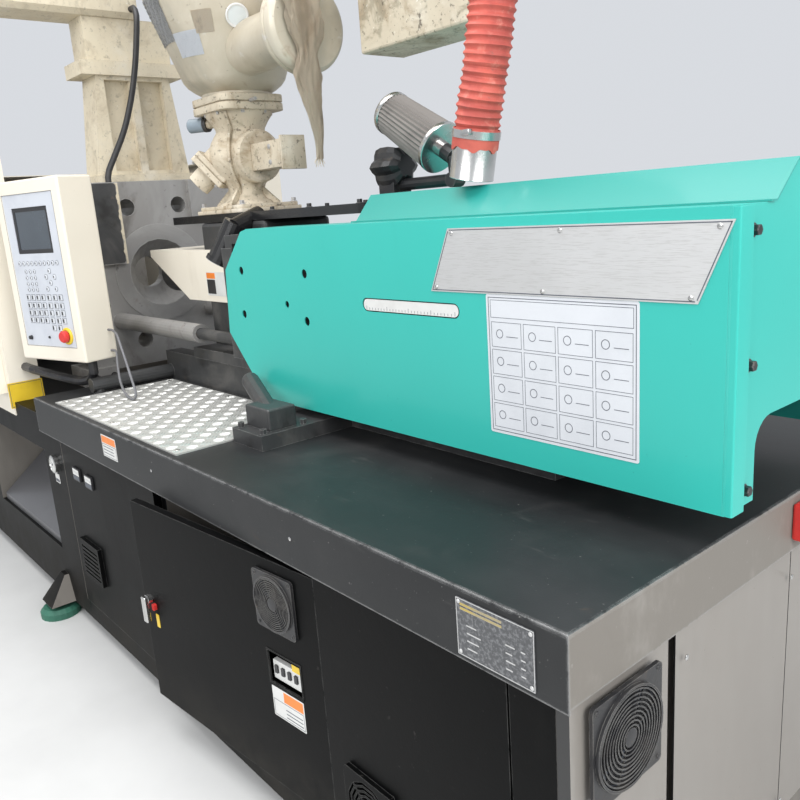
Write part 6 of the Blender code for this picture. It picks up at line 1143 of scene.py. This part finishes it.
def make_valve():
    """The cast valve: smooth body, parting rib, foot gussets, bolted flanges, square outlet and side block."""
    base = SLIDE_TOP + 0.0003
    foot_top = base + 0.024
    head = 1.7118
    body = [(0, foot_top - 0.004), (0.096, foot_top - 0.004), (0.090, foot_top + 0.006), (0.072, 1.400), (0.060, 1.416),
            (0.057, 1.430), (0.062, 1.446), (0.079, 1.465), (0.096, 1.486), (0.106, 1.508), (0.109, 1.530),
            (0.106, 1.553), (0.098, 1.577), (0.085, 1.598), (0.077, 1.609), (0.078, 1.618), (0.090, 1.638),
            (0.103, 1.655), (0.106, 1.668), (0, 1.668)]
    cast = [turned(body, THROAT, UP, 64)]
    for flange in ((0.1445, 0.1145, 0.012, base, base + 0.0125), (0.1360, 0.1060, 0.012, base + 0.0120, foot_top),
                   (0.1120, 0.1120, 0.036, 1.665, 1.6865), (0.1070, 0.1070, 0.036, 1.6860, 1.6905),
                   (0.1120, 0.1120, 0.036, 1.6900, head)):
        cast.append(flange_plate(*flange))
    inner, low, high, lean = 0.045, foot_top - 0.002, 1.446, 0.92
    for turn, outer in ((-58, 0.118), (122, 0.118), (32, 0.112), (212, 0.112)):
        cast.append(rib([(inner, low), (outer, low), (outer, low + (high - low) * 0.12),
                         (inner + (outer - inner) * (1 - lean), high), (inner, high)], turn, 0.010))
    parting = [(0.050, 1.405), (0.066, 1.425), (0.072, 1.446), (0.090, 1.465), (0.108, 1.487), (0.117, 1.510),
               (0.119, 1.530), (0.116, 1.553), (0.108, 1.578), (0.094, 1.602), (0.087, 1.618), (0.100, 1.640),
               (0.111, 1.664), (0.050, 1.664)]
    cast += [rib(parting, turn, 0.009) for turn in (-52, 128)]

    start, end = Vector((0.660, 0, 1.585)), Vector((0.6025, -0.067, 1.511))
    along = (end - start).normalized()
    level = along.cross(UP).normalized()
    rise = level.cross(along)
    cast.append(rod(start, end + along * 0.002, 0.054))
    half = 0.088 / math.sqrt(2) * 0.985
    for near, far, share in ((0.0, 0.0150, 1.0), (0.0145, 0.0190, 0.93), (0.0185, 0.036, 1.0)):
        square = rectangle(*round_about((0, 0), half * share, half * share, 0.006))
        cast.append(prism(square, (end + along * far, rise, level), -(far - near)))
    cast.append(tube(end + along * 0.030, end + along * 0.086, 0.038, 0.004))

    cast.append(rod((THROAT_X, 0, 1.528), (THROAT_X + 0.108, 0, 1.528), 0.080, 64, 0.006))
    side_end = THROAT_X + 0.285
    cast.append(block((THROAT_X + 0.06, -0.034, 1.482), (side_end - 0.012, 0.034, 1.562), 0.003))
    cast.append(block((side_end - 0.001, -0.042, 1.474), (side_end + 0.0088, 0.042, 1.570), 0.0018))
    cast.append(block((side_end - 0.013, -0.030, 1.486), (side_end, 0.030, 1.558), 0.001))
    cast.append(rod((THROAT_X - 0.05, -0.045, 1.642), (0.535, -0.0935, 1.642), 0.014, 24))
    piece("feed_valve", cast, "aged_cream", "hopper", ["hopper_valve"])

    knob = Vector((0.515, -0.100, 1.642))
    knob_along = (knob - Vector((0.604, -0.05, 1.642))).normalized()
    sleeve = rod(knob - knob_along * 0.062, knob + knob_along * 0.0002, 0.0218, 32, 0.003)
    piece("valve_sleeve", [sleeve], "slate", "hopper")
    clamp = tube(knob - knob_along * 0.070, knob - knob_along * 0.058, 0.0235, 0.008, 32)
    piece("sleeve_clamp", [clamp], "black_iron", "hopper")

    foot_bolts = [(THROAT_X + u, v, foot_top) for v in (-0.094, 0.094) for u in (-0.124, 0.124)]
    bolts = hex_bolts(foot_bolts, UP, 0.0085, 0.011)
    reach = 0.0975
    for k in range(8):
        x, y = polar(TURN * (k + 0.5) / 8)
        bolts += hex_bolt((THROAT_X + reach * x, reach * y, head), UP, 0.0065, 0.0085)
        bolts += hex_bolt((THROAT_X + reach * 1.04 * x, reach * 1.04 * y, 1.6650), -UP, 0.0065, 0.0075)
    bolts += hex_bolts([end + along * 0.036 + rise * su * half * 0.80 + level * sv * half * 0.80
                        for su in (-1, 1) for sv in (-1, 1)], along, 0.0055, 0.007)
    bolts += [dome((side_end - 0.070, -0.0342, z), (0, -1, 0), 0.0075, 0.004) for z in (1.500, 1.545)]
    bolts.append(rod((THROAT_X + 0.114, -0.020, 1.690), (THROAT_X + 0.150, -0.024, 1.690), 0.0055, 16))
    piece("valve_bolts", bolts, "worn_steel", "hopper")


CONE_LOW, CONE_HIGH = (0.158, 1.760), (0.255, 2.020)


def on_cone(angle, z, lift):
    """A place on the cone's wall, with its outward direction."""
    radius = CONE_LOW[0] + (CONE_HIGH[0] - CONE_LOW[0]) * (z - CONE_LOW[1]) / 0.260
    ray = ray_at(angle)
    out = Vector((ray.x * 0.937, ray.y * 0.937, -0.350))
    return THROAT + ray * radius + UP * z + out * lift, out


def wrapped(turn0, turn1, z0, z1, lift, cells=16, wave=0.0):
    """A thin sheet that follows the cone's wall."""
    angle0, angle1 = math.radians(turn0), math.radians(turn1)
    bm = bmesh.new()
    grid = []
    for i in range(cells + 1):
        row = []
        for j in range(cells + 1):
            bump = wave * math.sin(i * 1.7 + j * 0.6) * math.sin(j * 1.1 + i * 0.35)
            place = on_cone(angle0 + (angle1 - angle0) * i / cells, z0 + (z1 - z0) * j / cells, lift + max(bump, 0))
            row.append(bm.verts.new(place[0]))
        grid.append(row)
    for i in range(cells):
        for j in range(cells):
            bm.faces.new((grid[i][j], grid[i + 1][j], grid[i + 1][j + 1], grid[i][j + 1]))
    bmesh.ops.solidify(bm, geom=bm.faces[:], thickness=FILM)
    return bm


def make_hopper():
    """The dryer's cone and drum with its flange, side duct and head, and what is fixed and taped to them."""
    seat = 1.7123
    wall = [(0, seat), (0.108, seat), (0.108, 1.7205), (0.128, 1.7320), (0.146, 1.7450), CONE_LOW, CONE_HIGH,
            (0.255, 2.060), (0.2585, 2.064), (0.2585, 2.072), (0.255, 2.076), (0.255, 2.676), (0.263, 2.680),
            (0.263, 2.688), (0.235, 2.696), (0.078, 2.745), (0, 2.745)]
    drum = [turned(wall, THROAT, UP, 96)]
    drum.append(rod((0.800, DUCT_Y, DUCT_Z), (1.076, DUCT_Y, DUCT_Z), 0.075, 64))
    drum.append(rod((THROAT_X + 0.13, 0, 2.580), (0.985, 0, 2.580), 0.046))
    drum.append(block((THROAT_X + 0.13, 0.098, 2.030), (0.9349, 0.142, 2.110), 0.002))
    piece("dryer_drum", drum, "cone", "hopper", ["hopper_body"])
    head = [(0, 0), (0.1165, 0), (0.120, 0.003), (0.120, 0.012), (0.1165, 0.015), (0.1165, 0.020), (0.120, 0.023),
            (0.120, 0.040), (0.116, 0.049), (0.108, 0.055), (0, 0.055)]
    piece("duct_head", [turned(head, (1.075, DUCT_Y, DUCT_Z), RIGHT, 72)], "cone", "hopper")

    at, out = on_cone(math.radians(-23), 1.905, 0.0)
    rim = [(0.026, 0), (0.033, 0), (0.033, 0.006), (0.030, 0.008), (0.026, 0.006), (0.026, 0.0)]
    piece("sight_glass_rim", [turned(rim, at, out, 40)], "white_plastic", "hopper")
    pane = [(0, 0.0045), (0.0262, 0.0045), (0.0262, 0.0050), (0, 0.0056)]
    piece("sight_glass", [turned(pane, at, out, 40)], "glass", "hopper")
    level = out.cross(UP).normalized()
    rise = level.cross(out)
    screws = []
    for k in range(6):
        x, y = polar(TURN * k / 6)
        screws.append(dome(at + out * 0.006 + (level * x + rise * y) * 0.0295, out, 0.0018, 0.0012, 8))
    piece("sight_glass_screws", screws, "bright_steel", "hopper")
    piece("tape_patch", [wrapped(-58, -42, 1.868, 1.925, 0.0014)], "cloth", "hopper")
    piece("film_patch", [wrapped(-84, -56, 1.815, 1.880, 0.0010, 18, 0.0012)], "white_film", "hopper")
    piece("foil_tape", [wrapped(-122, -84, 1.862, 1.992, 0.0014, 26, 0.0030)], "tape", "hopper")


def make_bag():
    """The cloth bag: a lofted shell that hangs from the duct's head in loose folds and is drawn in to a frayed tail."""
    top, tail, bottom, cloth, head_x = 1.900, 1.486, 1.465, 0.0008, 1.1303
    rows, around = 130, 84
    rings = []
    for i in range(rows + 1):
        share = i / rows
        z = top + (tail - top) * share
        fall = (top - z) / (top - bottom)
        gather = math.cos(fall * math.pi / 2)
        width = 0.0066 + (0.0605 - 0.0066) * gather ** 1.3
        depth = 0.0060 + (0.0205 - 0.0060) * gather
        width *= 1 - 0.36 * math.exp(-((share - 0.36) / 0.09) ** 2) + 0.16 * math.exp(-((share - 0.50) / 0.10) ** 2)
        sway = -0.065 + 0.025 * fall + 0.006 * math.sin(share * 9.0)
        flare = 0.0035 * max(0.0, (share - 0.93) / 0.07)
        ring = []
        for k in range(around):
            a = TURN * k / around
            folds = (0.34 * math.sin(5 * a + 3.2 * math.sin(share * 5)) + 0.26 * math.sin(9 * a - share * 14)
                     + 0.16 * math.sin(14 * a + share * 9))
            crumple = (0.16 * math.sin(share * 44 + 3 * a) * math.sin(share * 19 + 2 * a)
                       + 0.10 * math.sin(share * 71 - 4 * a))
            deep = 0.86 - 0.32 * (folds * (1 - share * 0.45) + crumple * (1 - share * 0.8))
            ring.append((head_x + depth + (depth * deep - cloth) * math.cos(a),
                         sway + (width * deep + flare) * math.sin(a), z))
        rings.append(ring)
    bm = loft(rings, capped=False)
    surface = sum(face.calc_area() for face in bm.faces)
    bmesh.ops.solidify(bm, geom=bm.faces[:], thickness=cloth)
    bmesh.ops.recalc_face_normals(bm, faces=bm.faces)
    bag = piece("dust_bag", [bm], "cloth", "hopper", ["filter_bag"])
    strands = []
    for k in range(14):
        a = TURN * k / 14
        reach = 0.0030 + 0.0025 * (k % 3)
        start = Vector((head_x + 0.0068 + 0.0035 * math.cos(a), -0.0410 + 0.0060 * math.sin(a), tail + 0.006))
        end = start + Vector((reach * math.cos(a) * 0.5, reach * 1.6 * math.sin(a),
                              bottom - tail - 0.006 + 0.004 * (k % 4)))
        strands.append(rod(start, end, 0.0008, 6))
    threads = piece("bag_threads", strands, "cloth", "hopper")


def make_filter():
    """The blower's pleated filter with its glassy cap, its rims and its stub."""
    cap, base = Vector((1.353, 0.050, 1.578)), Vector((1.523, 0.050, 1.478))
    along = (base - cap).normalized()
    side = along.cross(UP).normalized()
    rise = side.cross(along)
    pleats = 34
    rings = []
    for place, radius in ((cap, 0.0520), (cap.lerp(base, 0.5), 0.0565), (base, 0.0610)):
        ring = []
        for k in range(pleats * 4):
            a = TURN * k / (pleats * 4)
            r = radius + 0.0022 * math.cos(pleats * a)
            ring.append(place + side * r * math.cos(a) + rise * r * math.sin(a))
        rings.append(ring)
    piece("filter_pleats", [loft(rings)], "filter_grey", CARRIAGE, ["air_filter"], smooth=False)
    rims = []
    rim = 0.007
    for place, bore, edge in ((cap, 0.050, (0.0545, 0.0560, 0.0540)), (base, 0.020, (0.0630, 0.0650, 0.0630))):
        rims.append(turned([(bore, -rim), (edge[0], -rim), (edge[1], -rim + 0.003), (edge[1], rim - 0.002),
                            (edge[2], rim), (bore, rim), (bore, -rim)], place, along, 64))
    rims.append(turned(disc(0.020, 0, 0.0195), base, along, 32))
    piece("filter_rims", rims, "bright_steel", CARRIAGE)
    glassy = [(0, 0), (0.0500, 0), (0.0500, 0.0050), (0.044, 0.0062), (0.020, 0.0068), (0, 0.0068)]
    piece("filter_cap", [turned(glassy, cap, -along, 64)], "glass", CARRIAGE)


def make_spigot():
    """The bright spigot at the hose's lower end, with the torn cuff and the clamp where the hose goes over it."""
    before, end = Vector(HOSE_ROUTE[-2]), Vector(HOSE_ROUTE[-1])
    along = (end - before).normalized()
    start = end + along * 0.0003
    sleeve = [(0.0450, 0), (0.0470, 0), (0.0470, 0.0955), (0.0476, 0.0965), (0.0470, 0.0975), (0.0450, 0.0975),
              (0.0450, 0.0)]
    piece("hose_sleeve", [turned(sleeve, start, along, 72)], "bright_steel", "hopper", ["hose_spigot"])
    # A black disc across the sleeve's bore: painted shade for the dark inside of the tube.
    inside = turned(disc(0.0449, 0.004, 0.0060), start, along, 48)
    piece("hose_sleeve_bore_shade", [inside], "black_plastic", "hopper")
    cuff = turned(band(0.0474, 0.0492, -0.004, 0.036), start, along, 72)
    for vert in cuff.verts:
        if (vert.co - start).dot(along) > 0.030:
            turn = math.atan2(vert.co.y - start.y, vert.co.x - start.x)
            vert.co += along * (0.0035 * math.sin(5 * turn + 0.6) + 0.0020 * math.sin(11 * turn))
    piece("hose_cuff", [cuff], "hose_red", "hopper")
    at = start + along * 0.006
    strap = turned(band(0.0490, 0.0512, -0.0075, 0.0085), at, along, 64)
    worm_at, worm_half = at + Vector((0.020, -0.0500, 0)), Vector((0.011, 0.006, 0.006))
    piece("hose_clamp", [strap, block(worm_at - worm_half, worm_at + worm_half, 0.0015)], "bright_steel", "hopper")


def make_drain_lip():
    """The bright worn lip of the drain pipe, and the bolts of the slide plate."""
    top, bottom = Vector((0.862, -0.164, 1.330)), Vector((0.815, -0.212, 1.218))
    lip = turned(band(0.0356, 0.0424, -0.0005, 0.0008), bottom, (bottom - top).normalized(), 48)
    piece("drain_lip", [lip], "worn_steel", CARRIAGE)
    bolts = [(x, y, SLIDE_TOP) for x in (0.960, 1.150, 1.375) for y in (-0.098, 0.098)]
    piece("slide_bolts", hex_bolts(bolts, UP, 0.0075, 0.009), "black_iron", CARRIAGE)


# Guard and platen

def make_guard_details():
    """The bare plates on the guard's end and on the purge guard."""
    plane = facing_right(-0.120 + PRINT)
    thick = 0.0012
    flat("guard_plate", plates([(-0.637, -0.514, 0.717, 0.812, 0.003)], plane, thick), "yellow", "machine")
    line = border(-0.633, -0.518, 0.721, 0.808, 0.0018)
    flat("guard_plate_line", plates(line, lifted(plane, thick), PRINT), "ink", "machine")
    plane = facing_operator(-0.1236 - PRINT)
    top = lifted(plane, FILM)
    flat("purge_sheet", plates([(0.545, 0.670, 1.100, 1.178, 0.002)], plane, FILM), "white_plastic", CARRIAGE)
    flat("purge_sheet_patch", plates([(0.548, 0.606, 1.156, 1.175)], top, PRINT), "orange", CARRIAGE)
    flat("purge_sheet_block", plates([(0.548, 0.604, 1.106, 1.153)], top, PRINT), "black_plastic", CARRIAGE)


def make_platen_details():
    """A machined ring round the nozzle bore, the foot's bolts, and the face and chipped edge of the near cover."""
    ring = annulus(0.190, 0.1305, 64, (0, 1.155), facing_right(-0.080 + PRINT), 0.0030)
    flat("register_ring", [ring], "worn_steel", "machine")
    bolts = [(-0.060 + PRINT, y, 0.778) for y in (-0.330, -0.262)]
    piece("foot_bolts", hex_bolts(bolts, RIGHT, 0.0125, 0.012), "black_iron", "machine")
    near = facing_right(-0.030 + PRINT)
    flat("near_cover_face", plates([(-0.328, -0.160, 1.207, 1.504, 0.012)], near, 0.0012), "dark_iron", "machine")
    edge, low, high = -0.1505, 1.204, 1.504
    chipped = [(edge, low)]
    for i in range(33):
        chipped.append((-0.1600 + 0.0028 * math.sin(i * 0.9) + 0.0020 * math.sin(i * 2.3), low + 0.300 * i / 32))
    chipped.append((edge, high))
    flat("near_cover_edge", [prism(chipped[::-1], lifted(near, 0.0010), 0.0006)], "pedestal", "machine")


DETAILS = (make_cover_details, make_cover_corners, make_roof, make_valve, make_hopper, make_bag, make_filter,
           make_spigot, make_drain_lip, make_apron_details, make_post_details, make_door_details, make_end_details,
           make_tread, make_panel_details, make_guard_details, make_platen_details)


make_camera()
make_room()
dress_frame()
make_cords()
for make_details in DETAILS:
    make_details()
